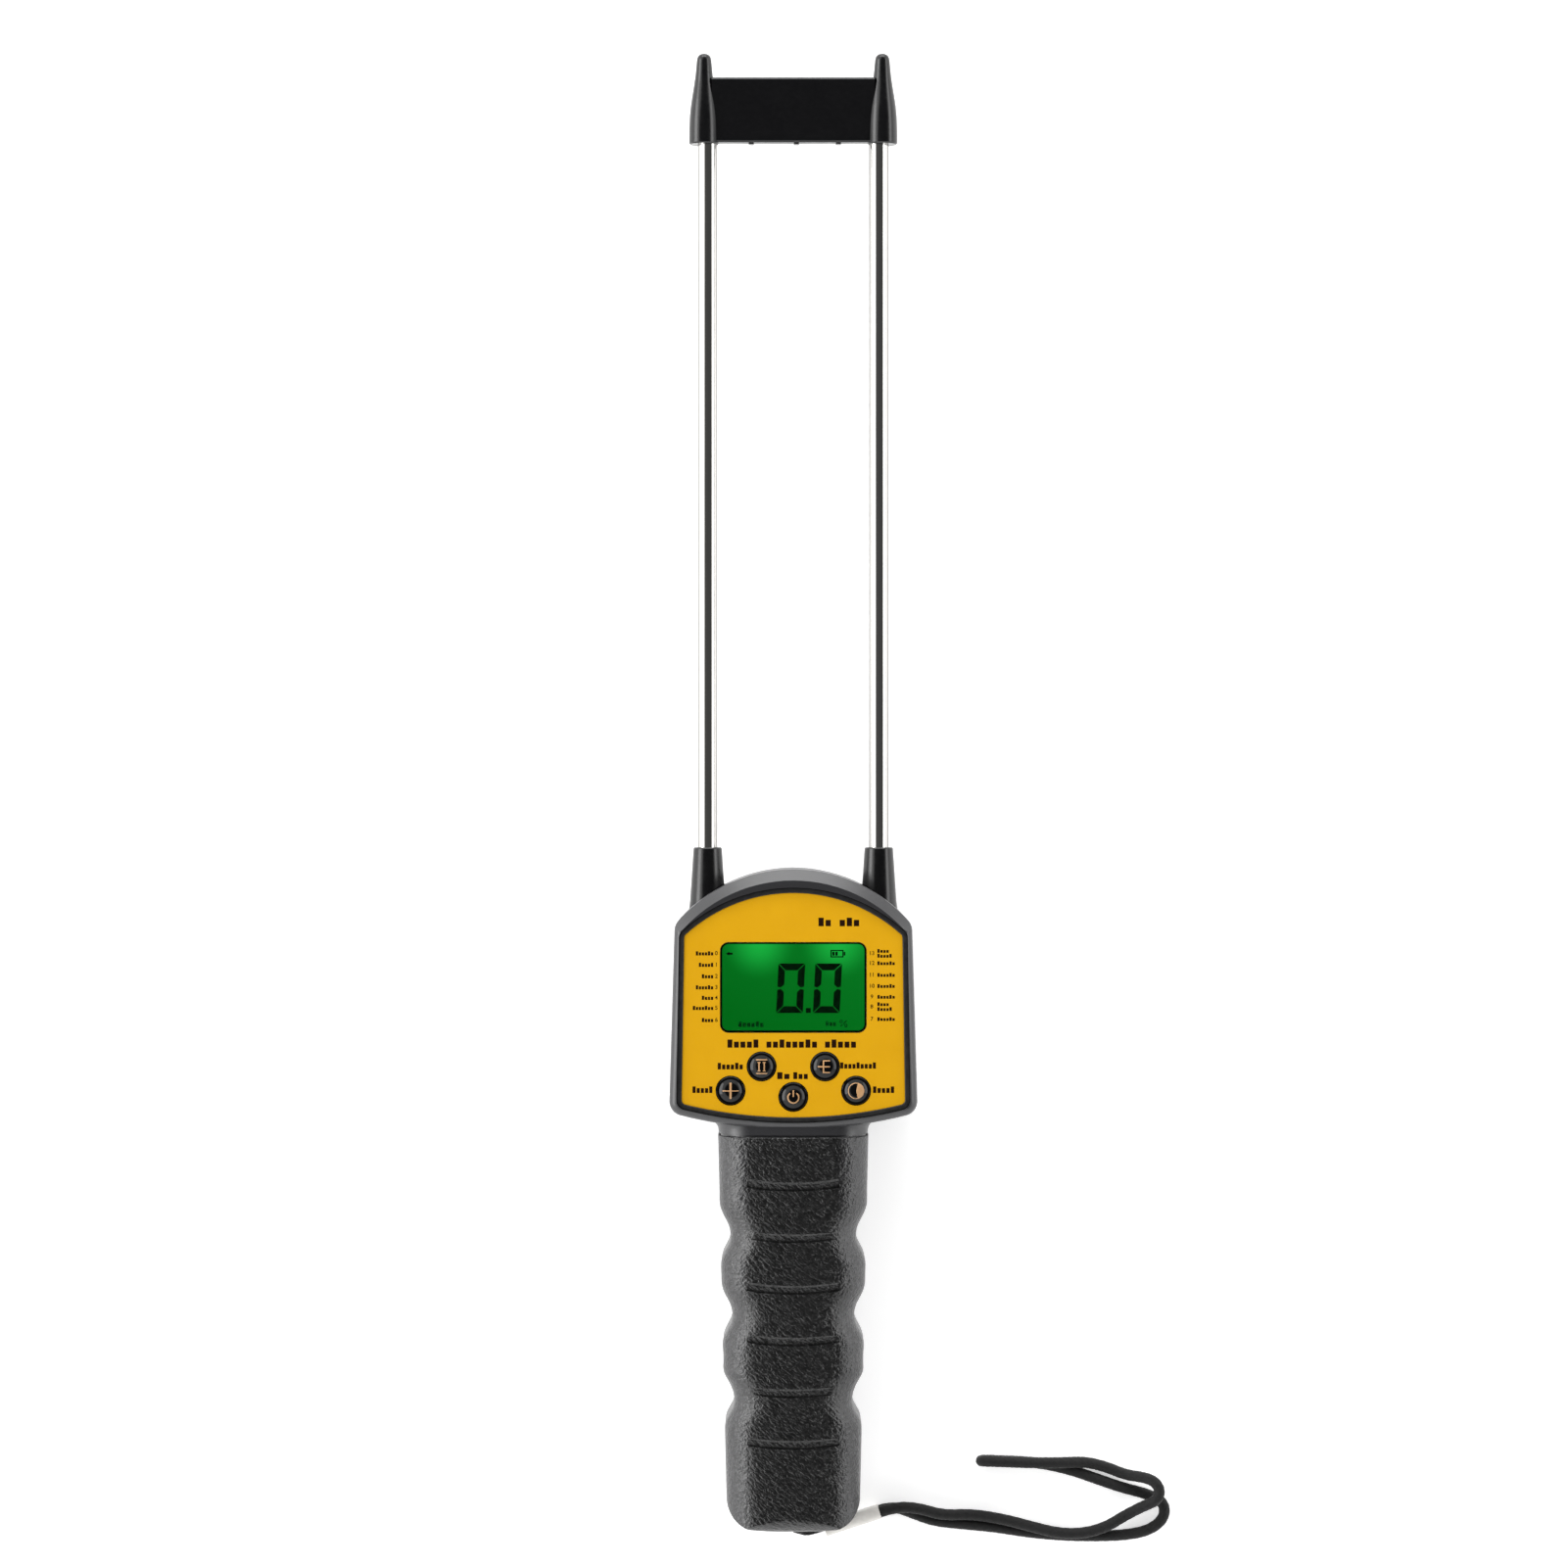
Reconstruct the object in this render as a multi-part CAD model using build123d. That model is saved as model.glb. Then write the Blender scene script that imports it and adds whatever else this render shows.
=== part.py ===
from build123d import *
import os
from math import asin, cos, degrees, pi, radians, sin, sqrt, tan

# A handheld moisture meter with a two-rod probe, lying on its back.
# X runs to the right of the face, Y from the base of the grip to the probe tips, and Z out of
# the face. The table is at z = 0, and the origin is the middle of the whole length and width.

# ---------------------------------------------------------------- driving sizes
LENGTH = 455.6            # base of the grip to the points of the probe
TIP_Y = LENGTH / 2
BASE_Y = -LENGTH / 2
SPLIT_Z = 17.0            # the shells part here, and the rods lie in this plane
WALL = 2.4                # shell thickness in the head
GRIP_WALL = 3.0           # shell thickness in the grip
BASE_WALL = 8.0           # solid end of the grip, round the strap's bar
NECK_INNER_Y = -97.0      # where the grip's hollow opens into the head's
FIT = 0.2                 # gap round a part that moves or drops in

# probe
ROD_X = 26.5
ROD_RADIUS = 3.0
ROD_BORE = 2.4
ROD_INNER_Y = -53.2
CLAMP_Y = (-53.6, -45.4)
CLAMP_HALF = 4.4
SLEEVE_TOP_Y = -18.0
SLEEVE_SEAT_Y = -37.5       # the taper ends here, inside the shells
SLEEVE_FLANGE_Y = (-43.2, -44.8)
SLEEVE_RADIUS = 5.9
ROD_SOCKET = 11.4           # how far a rod goes into its pointed cap
BRIDGE_Y = 199.6
BRIDGE_HEIGHT = 20.6
BRIDGE_DEPTH = 5.6
BRIDGE_HALF = 25.2
SPIKE_X = 27.6
SPIKE_RADIUS = 4.7

# head
HEAD_TOP_Y = -24.5
SHOULDER = (36.4, -41.5)
HEAD_CORNER = (38.1, -99.0)
HEAD_BOTTOM_Y = -104.2
HEAD_ARC_Y = -73.4        # centre of the arc over the top of the head
RIM_Z = 35.0
RIM_ROUND = 3.0
HEAD_BACK_ROUND = 4.0
TOP_SLOPE_RUN = 3.4          # how far the sloping top of the rim reaches inwards
TOP_SLOPE_DROP = 2.6         # and how far it falls
DECK_TOP_Z = 33.0
DECK_Z = 31.0
PANEL_TOP_Y = -31.7
PANEL_SHOULDER = (33.4, -44.8)
PANEL_CORNER = (34.2, -96.2)
PANEL_BOTTOM_Y = -100.4
PANEL_THICK = 0.8
GASKET_WIDE = 1.6
GASKET_HIGH = 1.2

# display
WINDOW_Y = -60.65
WINDOW_WIDE = 44.8
WINDOW_HIGH = 27.7
WINDOW_LEDGE = 0.6
WINDOW_CORNER = 2.6
LENS_Z = 32.2
LENS_THICK = 1.4
GLASS_THICK = 1.8
GLASS_HALF = (23.2, 14.7)
FRAME_HALF = (24.3, 16.0)
FRAME_GAP = 0.1
GUIDE_HALF = (22.6, 12.0)
GUIDE_THICK = 2.4
LAMP_PLACES = (-10.5, 13.5)
LAMP_HALF = 1.6
LAMP_DEEP = 1.3
STRIP_HALF = 22.0
STRIP_Y = (-14.4, -12.6)    # the contact strip's two edges, from the middle of the window

# board
BOARD_Z = 24.0
BOARD_THICK = 1.6
BOARD_HALF = 27.5
BOARD_TOP_Y = -39.0
BOARD_BOTTOM_Y = -98.0
BOARD_SCREW_PLACES = [(17.0, -41.6), (-17.0, -41.6), (25.2, -79.5), (-25.2, -79.5)]
BOARD_SCREW_HEAD = 1.3
BOARD_SCREW_LENGTH = 5.2
CHIP_PLACE = (-8.0, -66.0)
CHIP_SIDE = 10.0
CHIP_HIGH = 1.2

# keys
KEYS = {
    "power": (0.0, -94.1),
    "adjust": (-9.7, -84.8),
    "varieties": (9.7, -84.8),
    "limit": (-19.2, -92.2),
    "voice": (19.2, -92.2),
}
KEY_HOLE = 4.6
KEY_RADIUS = 4.4
KEY_DOME = 3.45
KEY_FLANGE = 5.4
KEY_STEM_RADIUS = 2.0
KEY_EDGE = 0.3
PLUNGER_RADIUS = 1.6
KEY_TOP_Z = 35.2
KEY_STEM_Z = 29.8
SWITCH_TOP_Z = 29.1

# grip
GRIP_TOP_Y = -106.3
GRIP_TOP_HALF = 23.2
GRIP_END_HALF = 20.4
GRIP_Z = 34.4
FRONT_CORNER = 11.0
BACK_CORNER = 6.0
CROWN = radians(6)        # slope of the slightly domed front where the corners begin
SCALLOPS = [-137.2, -161.8, -187.8]
SCALLOP_DEEP = 3.1
SCALLOP_ABOVE = 8.6
SCALLOP_BELOW = 7.8
BASE_CORNER = 9.5
BASE_SAG = 2.2            # how far the middle of the base stands out past its corners
FOOT_FRONT_RADIUS = 5.0
FOOT_BACK_RADIUS = 2.5
NECK_INSET = 0.2
RIB_TOP_Y = -122.4
RIB_STEP = 15.8
RIB_COUNT = 6
RIB_HALF = 14.2
RIB_SAG = 1.1             # how far a rib's ends rise towards the head
RIB_DROP = 0.85           # and how far they drop with the domed front
RIB_ABOVE = 2.1           # the gentle upper wall starts this far above the rib's line
RIB_BELOW = 0.7           # and the steep lower wall stands this far below it
RIB_LIP = (1.45, 0.38)    # where the upper wall eases off: how far above, how deep
RIB_DEEP = 0.72

# battery bay, open to the back of the grip
BAY_TOP_Y = -115.5
BAY_BOTTOM_Y = -212.5
BAY_HALF = 10.75
BAY_WALL = 1.4
BAY_ROOF_Z = 13.9
CELL_RADIUS = 5.25
CELL_LENGTH = 44.5
CELL_X = 5.35
CELL_Z = 8.15
CONTACT_THICK = 0.4
CONTACT_GAP = 0.8           # half the gap between the two upper plates
CONTACT_Z = (3.6, 12.6)
COVER_HALF = 11.4
COVER_LOW_Z = 0.4
COVER_THICK = 1.9
COVER_PIVOT_Y = -113.9
COVER_PIVOT_Z = COVER_LOW_Z + COVER_THICK / 2
COVER_END_Y = -215.0
PIN_RADIUS = 0.6

BOSS_RADIUS = 3.0
THREAD_RADIUS = 1.2
SCREW_HEAD_RADIUS = 2.4
SCREW_HEAD_Z = (1.2, 3.4)
BOARD_BOSS_RADIUS = 2.2
BOARD_THREAD_RADIUS = 0.95
HOUSING_SCREW_PLACES = [(31.5, -60), (-31.5, -60), (31.5, -93.5), (-31.5, -93.5), (0, -217.4)]
SPEAKER_Y = -76.0
SPEAKER_RADIUS = 11.0

# strap
BAR_Y = -226.4
BAR_Z = 6.8
BAR_RADIUS = 1.2
STRING_DIAMETER = 1.3
STRAP_DIAMETER = 3.5
FERRULE_START = (10.0, -231.5)
FERRULE_END = (27.1, -225.9)
FERRULE_WIDE = 4.2
FERRULE_HIGH = 7.2


# ---------------------------------------------------------------- helpers
def cylinder(x, y, z_low, z_high, radius):
    """An upright cylinder between two heights."""
    return Pos(x, y, (z_low + z_high) / 2) * Cylinder(radius, z_high - z_low)


def block(x_low, x_high, y_low, y_high, z_low, z_high):
    """A box between its two corners."""
    middle = Pos((x_low + x_high) / 2, (y_low + y_high) / 2, (z_low + z_high) / 2)
    return middle * Box(x_high - x_low, y_high - y_low, z_high - z_low)


def plate(outline, z_low, z_high):
    """A flat outline in the XY plane, extruded between two heights."""
    return extrude(Pos(0, 0, z_low) * outline, z_high - z_low)


def tube_path(points):
    """Straight runs joined by the largest arcs that the runs leave room for, and the radii."""
    places = [Vector(*point) for point in points]
    radii = []
    for before, here, after in zip(places, places[1:], places[2:]):
        turn = radians((here - before).get_angle(after - here))
        shorter = min((here - before).length, (after - here).length)
        radii.append(0.45 * shorter / tan(turn / 2))
    return FilletPolyline(*places, radius=radii), radii


def tube(name, points, diameter):
    """A round cord or wire along a route, with its volume compared with section times length."""
    path, radii = tube_path(points)
    section = Plane(origin=path @ 0, z_dir=path % 0) * Circle(diameter / 2)
    cord = sweep(section, path=path)
    ratio = cord.volume / (pi * diameter ** 2 / 4 * path.length)
    print(name, "length", round(path.length, 1), "volume ratio", round(ratio, 3),
          "radii", [round(radius, 1) for radius in radii])
    return cord


def turned(profile_points, x, z):
    """A solid of revolution about a line along Y; the points are (radius, y)."""
    profile = make_face(Polyline(*[(radius, y, 0) for radius, y in profile_points], close=True))
    return Pos(x, 0, z) * revolve(profile, Axis.Y, 360)


# ---------------------------------------------------------------- outer form
def face_outline(shoulder, corner, top_y, bottom_y, shoulder_radius, corner_radius):
    """The outline of the head or its plate: arcs above and below, straight sloping sides."""
    left_shoulder = (-shoulder[0], shoulder[1])
    left_corner = (-corner[0], corner[1])
    sides = [
        ThreePointArc(left_shoulder, (0, top_y), shoulder),
        Line(shoulder, corner),
        ThreePointArc(corner, (0, bottom_y), left_corner),
        Line(left_corner, left_shoulder),
    ]
    outline = make_face(sides)
    corners = outline.vertices().sort_by(Axis.Y)
    outline = fillet(corners[2:], shoulder_radius)
    corners = outline.vertices().filter_by(lambda vertex: vertex.Y < corner[1] + 0.01)
    return fillet(corners, corner_radius)


def head_outline():
    return face_outline(SHOULDER, HEAD_CORNER, HEAD_TOP_Y, HEAD_BOTTOM_Y, 5.0, 4.5)


def panel_outline():
    return face_outline(PANEL_SHOULDER, PANEL_CORNER, PANEL_TOP_Y, PANEL_BOTTOM_Y, 1.6, 1.6)


def grip_half(y):
    """Half the width of the grip: a slow taper with three finger scallops a side."""
    taper = (GRIP_TOP_Y - y) / (GRIP_TOP_Y - BASE_Y)
    half = GRIP_TOP_HALF + (GRIP_END_HALF - GRIP_TOP_HALF) * taper
    for middle in SCALLOPS:
        reach = (y - middle) / (SCALLOP_ABOVE if y > middle else SCALLOP_BELOW)
        if abs(reach) < 1:
            half -= SCALLOP_DEEP * (1 - reach * reach) ** 1.5
    return half


def grip_section(y, inset=0.0, extra=0.0):
    """The outline across the grip: flat back, wide front corners, slightly domed front."""
    half = grip_half(y) - inset + extra
    top = GRIP_Z - inset
    front = FRONT_CORNER - inset
    back = BACK_CORNER - min(inset, BACK_CORNER - 1.5)
    crown_x = half - front * (1 - sin(CROWN))
    crown_radius = crown_x / sin(CROWN)
    crown_z = top - crown_radius * (1 - cos(CROWN))
    side_z = crown_z - front * cos(CROWN)
    halfway = radians(42)
    bulge_x = half - front * (1 - cos(halfway))
    bulge_z = side_z + front * sin(halfway)
    low_x = half - back * (1 - sqrt(0.5))
    low_z = inset + back * (1 - sqrt(0.5))

    def place(x, z):
        return Vector(x, y, z)

    return Wire([
        Edge.make_line(place(-half + back, inset), place(half - back, inset)),
        Edge.make_three_point_arc(
            place(half - back, inset), place(low_x, low_z), place(half, inset + back)),
        Edge.make_line(place(half, inset + back), place(half, side_z)),
        Edge.make_three_point_arc(
            place(half, side_z), place(bulge_x, bulge_z), place(crown_x, crown_z)),
        Edge.make_three_point_arc(
            place(crown_x, crown_z), place(0, top), place(-crown_x, crown_z)),
        Edge.make_three_point_arc(
            place(-crown_x, crown_z), place(-bulge_x, bulge_z), place(-half, side_z)),
        Edge.make_line(place(-half, side_z), place(-half, inset + back)),
        Edge.make_three_point_arc(
            place(-half, inset + back), place(-low_x, low_z), place(-half + back, inset)),
    ])


def loft_grip(y_high, y_low, inset, count=40, flare=None):
    """A loft through evenly spaced sections of the grip."""
    sections = []
    for index in range(count + 1):
        y = y_high + (y_low - y_high) * index / count
        extra = flare(y) if flare else 0.0
        sections.append(grip_section(y, inset, extra))
    return Solid.make_loft(sections)


def base_cap():
    """The tall form whose foot rounds the end of the grip: a shallow arc and wide corners."""
    side = GRIP_END_HALF + 0.05
    corner_y = BASE_Y + BASE_SAG
    shoulder = GRIP_TOP_HALF + 0.3
    outline = make_face([
        ThreePointArc((side, corner_y), (0, BASE_Y), (-side, corner_y)),
        Line((-side, corner_y), (-shoulder, GRIP_TOP_Y + 1)),
        Line((-shoulder, GRIP_TOP_Y + 1), (shoulder, GRIP_TOP_Y + 1)),
        Line((shoulder, GRIP_TOP_Y + 1), (side, corner_y)),
    ])
    outline = fillet(outline.vertices().sort_by(Axis.Y)[:2], BASE_CORNER)
    cap = plate(outline, -1, GRIP_Z + 1)
    side_view = Plane.YZ * Pos((BASE_Y + GRIP_TOP_Y) / 2, GRIP_Z / 2)
    length = GRIP_TOP_Y - BASE_Y
    profile = side_view * Rectangle(length, GRIP_Z + 0.02)
    foot = profile.vertices().sort_by(Axis.Y)[:2].sort_by(Axis.Z)
    profile = fillet(foot[0], FOOT_BACK_RADIUS)
    foot = profile.vertices().sort_by(Axis.Y)[:3].sort_by(Axis.Z)
    profile = fillet(foot[-1], FOOT_FRONT_RADIUS)
    return cap & extrude(profile, 30, both=True)


def grip_form():
    """The outer form of the grip, with the ribs pressed into its front."""
    form = loft_grip(GRIP_TOP_Y - 0.3, BASE_Y, 0.0) & base_cap()
    for index in range(RIB_COUNT):
        form -= rib_groove(RIB_TOP_Y - RIB_STEP * index)
    return form


def rib_groove(y):
    """A smile-shaped groove that follows the domed front: a gentle upper wall and a steep lower one."""
    lip_y, lip_deep = RIB_LIP
    over = 0.35
    upper_y = RIB_ABOVE + over * (RIB_ABOVE - lip_y) / lip_deep
    profile = make_face(Polyline(
        (0, y + upper_y, GRIP_Z + over), (0, y + lip_y, GRIP_Z - lip_deep),
        (0, y - RIB_BELOW + 0.2, GRIP_Z - RIB_DEEP), (0, y - RIB_BELOW, GRIP_Z + over), close=True))
    rise = Vector(0, RIB_SAG, -RIB_DROP)
    radius = (RIB_HALF ** 2 + rise.length ** 2) / (2 * rise.length)
    centre = Vector(0, y, GRIP_Z) + rise.normalized() * radius
    axis = Axis(centre, Vector(1, 0, 0).cross(rise))
    reach = degrees(asin(RIB_HALF / radius))
    return revolve(profile.rotate(axis, -reach), axis, 2 * reach)


def neck_flare(y):
    """The neck widens in a small hollow curve where it meets the head."""
    reach = max(0.0, min(1.0, (y + 105.6) / 4.6))
    return 3.4 * reach ** 2.6


def head_form():
    """The outer form of the head: rounded back, narrow front rim, sloping top rim."""
    form = plate(head_outline(), 0, RIM_Z)
    form = fillet(form.edges().filter_by(lambda edge: edge.center().Z < 0.01), HEAD_BACK_ROUND)
    form = fillet(form.edges().filter_by(lambda edge: edge.center().Z > RIM_Z - 0.01), RIM_ROUND)
    outer = HEAD_TOP_Y - HEAD_ARC_Y
    inner = outer - TOP_SLOPE_RUN
    beyond = outer + TOP_SLOPE_RUN
    wedge = make_face(Polyline(
        (inner, 0, RIM_Z + 0.01), (beyond, 0, RIM_Z + 0.01),
        (beyond, 0, RIM_Z - 2 * TOP_SLOPE_DROP), close=True))
    return form - Pos(0, HEAD_ARC_Y, 0) * revolve(wedge, Axis.Z, 360)


def outer_form():
    neck = loft_grip(-96.0, GRIP_TOP_Y + 0.4, NECK_INSET, 20, neck_flare)
    throat = loft_grip(GRIP_TOP_Y + 2.0, GRIP_TOP_Y - 2.0, NECK_INSET + 0.7, 4)
    return head_form() + neck + throat + grip_form()


def cavity():
    """The hollow inside both shells."""
    head = plate(offset(head_outline(), amount=-WALL), WALL, DECK_Z)
    grip = loft_grip(NECK_INNER_Y, BASE_Y + BASE_WALL, GRIP_WALL + NECK_INSET, 40)
    return head + grip


# ---------------------------------------------------------------- shells
def rod_sleeve(x):
    """A tapered collar round a rod, with a flange that the shells trap."""
    flange_top, flange_low = SLEEVE_FLANGE_Y
    profile = [
        (ROD_RADIUS, SLEEVE_TOP_Y), (4.2, SLEEVE_TOP_Y), (4.45, SLEEVE_TOP_Y - 0.4),
        (5.5, SLEEVE_SEAT_Y + 3), (SLEEVE_RADIUS, SLEEVE_SEAT_Y), (SLEEVE_RADIUS, flange_top),
        (SLEEVE_RADIUS + 0.7, flange_top), (SLEEVE_RADIUS + 0.7, flange_low),
        (ROD_RADIUS, flange_low),
    ]
    return turned(profile, x, SPLIT_Z)


def sleeve_clearance(x):
    length = 14
    return (Pos(x, SLEEVE_FLANGE_Y[0] + length / 2, SPLIT_Z) * Rot(90, 0, 0)
            * Cylinder(SLEEVE_RADIUS + 0.05, length))


def seam_groove(form):
    """A fine groove all round the joint between the shells."""
    slab = block(-60, 60, -240, 0, SPLIT_Z - 0.25, SPLIT_Z + 0.25)
    core_head = plate(offset(head_outline(), amount=-0.5), SPLIT_Z - 1, SPLIT_Z + 1)
    core_grip = loft_grip(NECK_INNER_Y, BASE_Y + 0.6, 0.5 + NECK_INSET, 40)
    return slab - core_head - core_grip


def front_housing(form, hollow, groove):
    shell = form & block(-60, 60, -240, 0, SPLIT_Z, 40)
    shell -= hollow
    for x, y in HOUSING_SCREW_PLACES:
        top = DECK_Z if y > GRIP_TOP_Y else GRIP_Z - 3
        shell += cylinder(x, y, SPLIT_Z, top + 0.2, BOSS_RADIUS)
        shell -= cylinder(x, y, SPLIT_Z - 1, SPLIT_Z + 8, THREAD_RADIUS)
    for x, y in BOARD_SCREW_PLACES:
        shell += cylinder(x, y, BOARD_Z + BOARD_THICK, DECK_Z + 0.2, BOARD_BOSS_RADIUS)
        shell -= cylinder(x, y, BOARD_Z, BOARD_Z + 6, BOARD_THREAD_RADIUS)
    pocket = offset(panel_outline(), amount=GASKET_WIDE)
    shell -= plate(pocket, DECK_TOP_Z, RIM_Z + 1)
    shell -= window_box(0, LENS_Z, DECK_TOP_Z + 1)
    shell -= window_box(WINDOW_LEDGE, DECK_Z - 1, LENS_Z)
    for x, y in KEYS.values():
        shell -= cylinder(x, y, DECK_Z - 1, DECK_TOP_Z + 1, KEY_HOLE)
    for side in (-1, 1):
        shell -= sleeve_clearance(side * ROD_X)
    return shell - groove


def window_box(inset, z_low, z_high):
    """The window's rounded outline, drawn in by an inset, between two heights."""
    outline = RectangleRounded(
        WINDOW_WIDE - 2 * inset, WINDOW_HIGH - 2 * inset, WINDOW_CORNER - inset)
    return plate(Pos(0, WINDOW_Y) * outline, z_low, z_high)


def battery_bay():
    """The walls and roof moulded round the cells."""
    outer = block(-BAY_HALF - BAY_WALL, BAY_HALF + BAY_WALL,
                  BAY_BOTTOM_Y - BAY_WALL, BAY_TOP_Y + BAY_WALL, 1.0, BAY_ROOF_Z + 1.3)
    inner = block(-BAY_HALF, BAY_HALF, BAY_BOTTOM_Y, BAY_TOP_Y, 0, BAY_ROOF_Z)
    return outer, inner


def lanyard_recess():
    """The pocket in the base end that the strap's bar crosses."""
    pocket = block(-4.2, 4.2, BASE_Y - 2, BASE_Y + 5.2, 2.4, 11.2)
    pocket = fillet(pocket.edges().filter_by(Axis.Y), 1.2)
    bar = Pos(0, BAR_Y, BAR_Z) * Rot(0, 90, 0) * Cylinder(BAR_RADIUS, 9.4)
    return pocket, bar


def rear_housing(form, hollow, groove):
    shell = form & block(-60, 60, -240, 0, -1, SPLIT_Z)
    shell -= hollow
    bay_outer, bay_inner = battery_bay()
    shell += bay_outer
    for x, y in HOUSING_SCREW_PLACES:
        shell += cylinder(x, y, 1.5, SPLIT_Z, BOSS_RADIUS + 0.2)
    for side in (-1, 1):
        x = side * ROD_X
        shell += block(x - CLAMP_HALF, x + CLAMP_HALF, *CLAMP_Y, 1.5, SPLIT_Z - 4.5)
    shell += cylinder(0, SPEAKER_Y, 1.5, 4.0, SPEAKER_RADIUS + 1.4)
    shell -= cylinder(0, SPEAKER_Y, WALL, 6.0, SPEAKER_RADIUS)
    shell -= bay_inner
    shell -= block(-COVER_HALF - 0.25, COVER_HALF + 0.25, COVER_END_Y - 0.4,
                   COVER_PIVOT_Y + COVER_THICK / 2 + 0.35, -1, COVER_LOW_Z + COVER_THICK + 0.1)
    shell -= cover_pins(PIN_RADIUS + 0.15, 0.2)
    for x, y in HOUSING_SCREW_PLACES:
        shell -= cylinder(x, y, -1, SCREW_HEAD_Z[1], SCREW_HEAD_RADIUS + 0.3)
        shell -= cylinder(x, y, 0, SPLIT_Z + 1, THREAD_RADIUS + 0.15)
    for x, y in speaker_hole_places():
        shell -= cylinder(x, y, -1, WALL + 1, 0.9)
    for side in (-1, 1):
        shell -= sleeve_clearance(side * ROD_X)
    pocket, bar = lanyard_recess()
    return (shell - pocket - groove) + bar


def speaker_hole_places():
    """A middle hole and a ring of eight."""
    places = [(0, SPEAKER_Y)]
    for index in range(8):
        angle = 2 * pi * index / 8
        places.append((5.5 * cos(angle), SPEAKER_Y + 5.5 * sin(angle)))
    return places


# ---------------------------------------------------------------- face and display
def face_panel():
    outline = offset(panel_outline(), amount=-0.05)
    panel = plate(outline, DECK_TOP_Z, DECK_TOP_Z + PANEL_THICK)
    panel -= window_box(-0.05, DECK_TOP_Z - 1, DECK_TOP_Z + 2)
    for x, y in KEYS.values():
        panel -= cylinder(x, y, DECK_TOP_Z - 1, DECK_TOP_Z + 2, KEY_HOLE)
    return panel


def panel_gasket():
    ring = offset(panel_outline(), amount=GASKET_WIDE - 0.02) - panel_outline()
    gasket = plate(ring, DECK_TOP_Z, DECK_TOP_Z + GASKET_HIGH)
    return fillet(gasket.edges().filter_by(lambda edge: edge.center().Z > 34.0), 0.3)


def display_lens():
    lens = window_box(FIT / 2, LENS_Z, LENS_Z + LENS_THICK)
    return chamfer(lens.faces().sort_by(Axis.Z)[-1].edges(), 0.25)


def window_block(half_wide, half_high, z_low, z_high):
    """A block centred on the window, between two heights."""
    return block(-half_wide, half_wide, WINDOW_Y - half_high, WINDOW_Y + half_high, z_low, z_high)


def display_stack():
    """The parts under the window: glass cell, frame, light guide, lamps, contact strip."""
    low = BOARD_Z + BOARD_THICK
    glass_low = DECK_Z - GLASS_THICK
    guide_low = glass_low - GUIDE_THICK
    glass = window_block(*GLASS_HALF, glass_low, DECK_Z)
    frame = window_block(*FRAME_HALF, low, DECK_Z)
    frame -= window_block(GLASS_HALF[0] + FRAME_GAP, GLASS_HALF[1] + FRAME_GAP, low - 1, DECK_Z + 1)
    guide = window_block(*GUIDE_HALF, guide_low, glass_low)
    lamp_y = WINDOW_Y + GUIDE_HALF[1]
    lamps = [
        block(x - LAMP_HALF, x + LAMP_HALF, lamp_y, lamp_y + LAMP_DEEP, guide_low, glass_low)
        for x in LAMP_PLACES
    ]
    strip_low, strip_high = (WINDOW_Y + y for y in STRIP_Y)
    strip = block(-STRIP_HALF, STRIP_HALF, strip_low, strip_high, low, glass_low)
    return {
        "lcd_glass": glass,
        "lcd_frame": frame,
        "backlight_panel": guide,
        "backlight_leds": Compound(lamps),
        "zebra_connector": strip,
    }


# ---------------------------------------------------------------- keys and board
def key_cap(x, y):
    """A round key: glossy dome in a low ring, a flange under the deck, and a stem."""
    ring_z = DECK_TOP_Z + PANEL_THICK + 0.25
    rise = KEY_TOP_Z - ring_z
    dome_radius = (KEY_DOME ** 2 + rise ** 2) / (2 * rise)
    profile = make_face([
        Line((0, 0, KEY_STEM_Z), (KEY_STEM_RADIUS, 0, KEY_STEM_Z)),
        Line((KEY_STEM_RADIUS, 0, KEY_STEM_Z), (KEY_STEM_RADIUS, 0, DECK_Z - 0.9)),
        Line((KEY_STEM_RADIUS, 0, DECK_Z - 0.9), (KEY_FLANGE, 0, DECK_Z - 0.9)),
        Line((KEY_FLANGE, 0, DECK_Z - 0.9), (KEY_FLANGE, 0, DECK_Z - 0.1)),
        Line((KEY_FLANGE, 0, DECK_Z - 0.1), (KEY_RADIUS, 0, DECK_Z - 0.1)),
        Line((KEY_RADIUS, 0, DECK_Z - 0.1), (KEY_RADIUS, 0, ring_z - KEY_EDGE)),
        Line((KEY_RADIUS, 0, ring_z - KEY_EDGE), (KEY_RADIUS - KEY_EDGE, 0, ring_z)),
        Line((KEY_RADIUS - KEY_EDGE, 0, ring_z), (KEY_DOME, 0, ring_z)),
        ThreePointArc(
            (KEY_DOME, 0, ring_z),
            (dome_radius * sin(0.24), 0, KEY_TOP_Z - dome_radius * (1 - cos(0.24))),
            (0, 0, KEY_TOP_Z)),
        Line((0, 0, KEY_TOP_Z), (0, 0, KEY_STEM_Z)),
    ])
    return Pos(x, y, 0) * revolve(profile, Axis.Z, 360)


def switch_plunger(x, y):
    return cylinder(x, y, SWITCH_TOP_Z - 1.2, KEY_STEM_Z, PLUNGER_RADIUS)


def tact_switches():
    low = BOARD_Z + BOARD_THICK
    bodies = []
    for x, y in KEYS.values():
        body = block(x - 3, x + 3, y - 3, y + 3, low, SWITCH_TOP_Z)
        body -= cylinder(x, y, SWITCH_TOP_Z - 2.4, SWITCH_TOP_Z + 1, PLUNGER_RADIUS + 0.15)
        bodies.append(body)
    return Compound(bodies)


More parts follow.
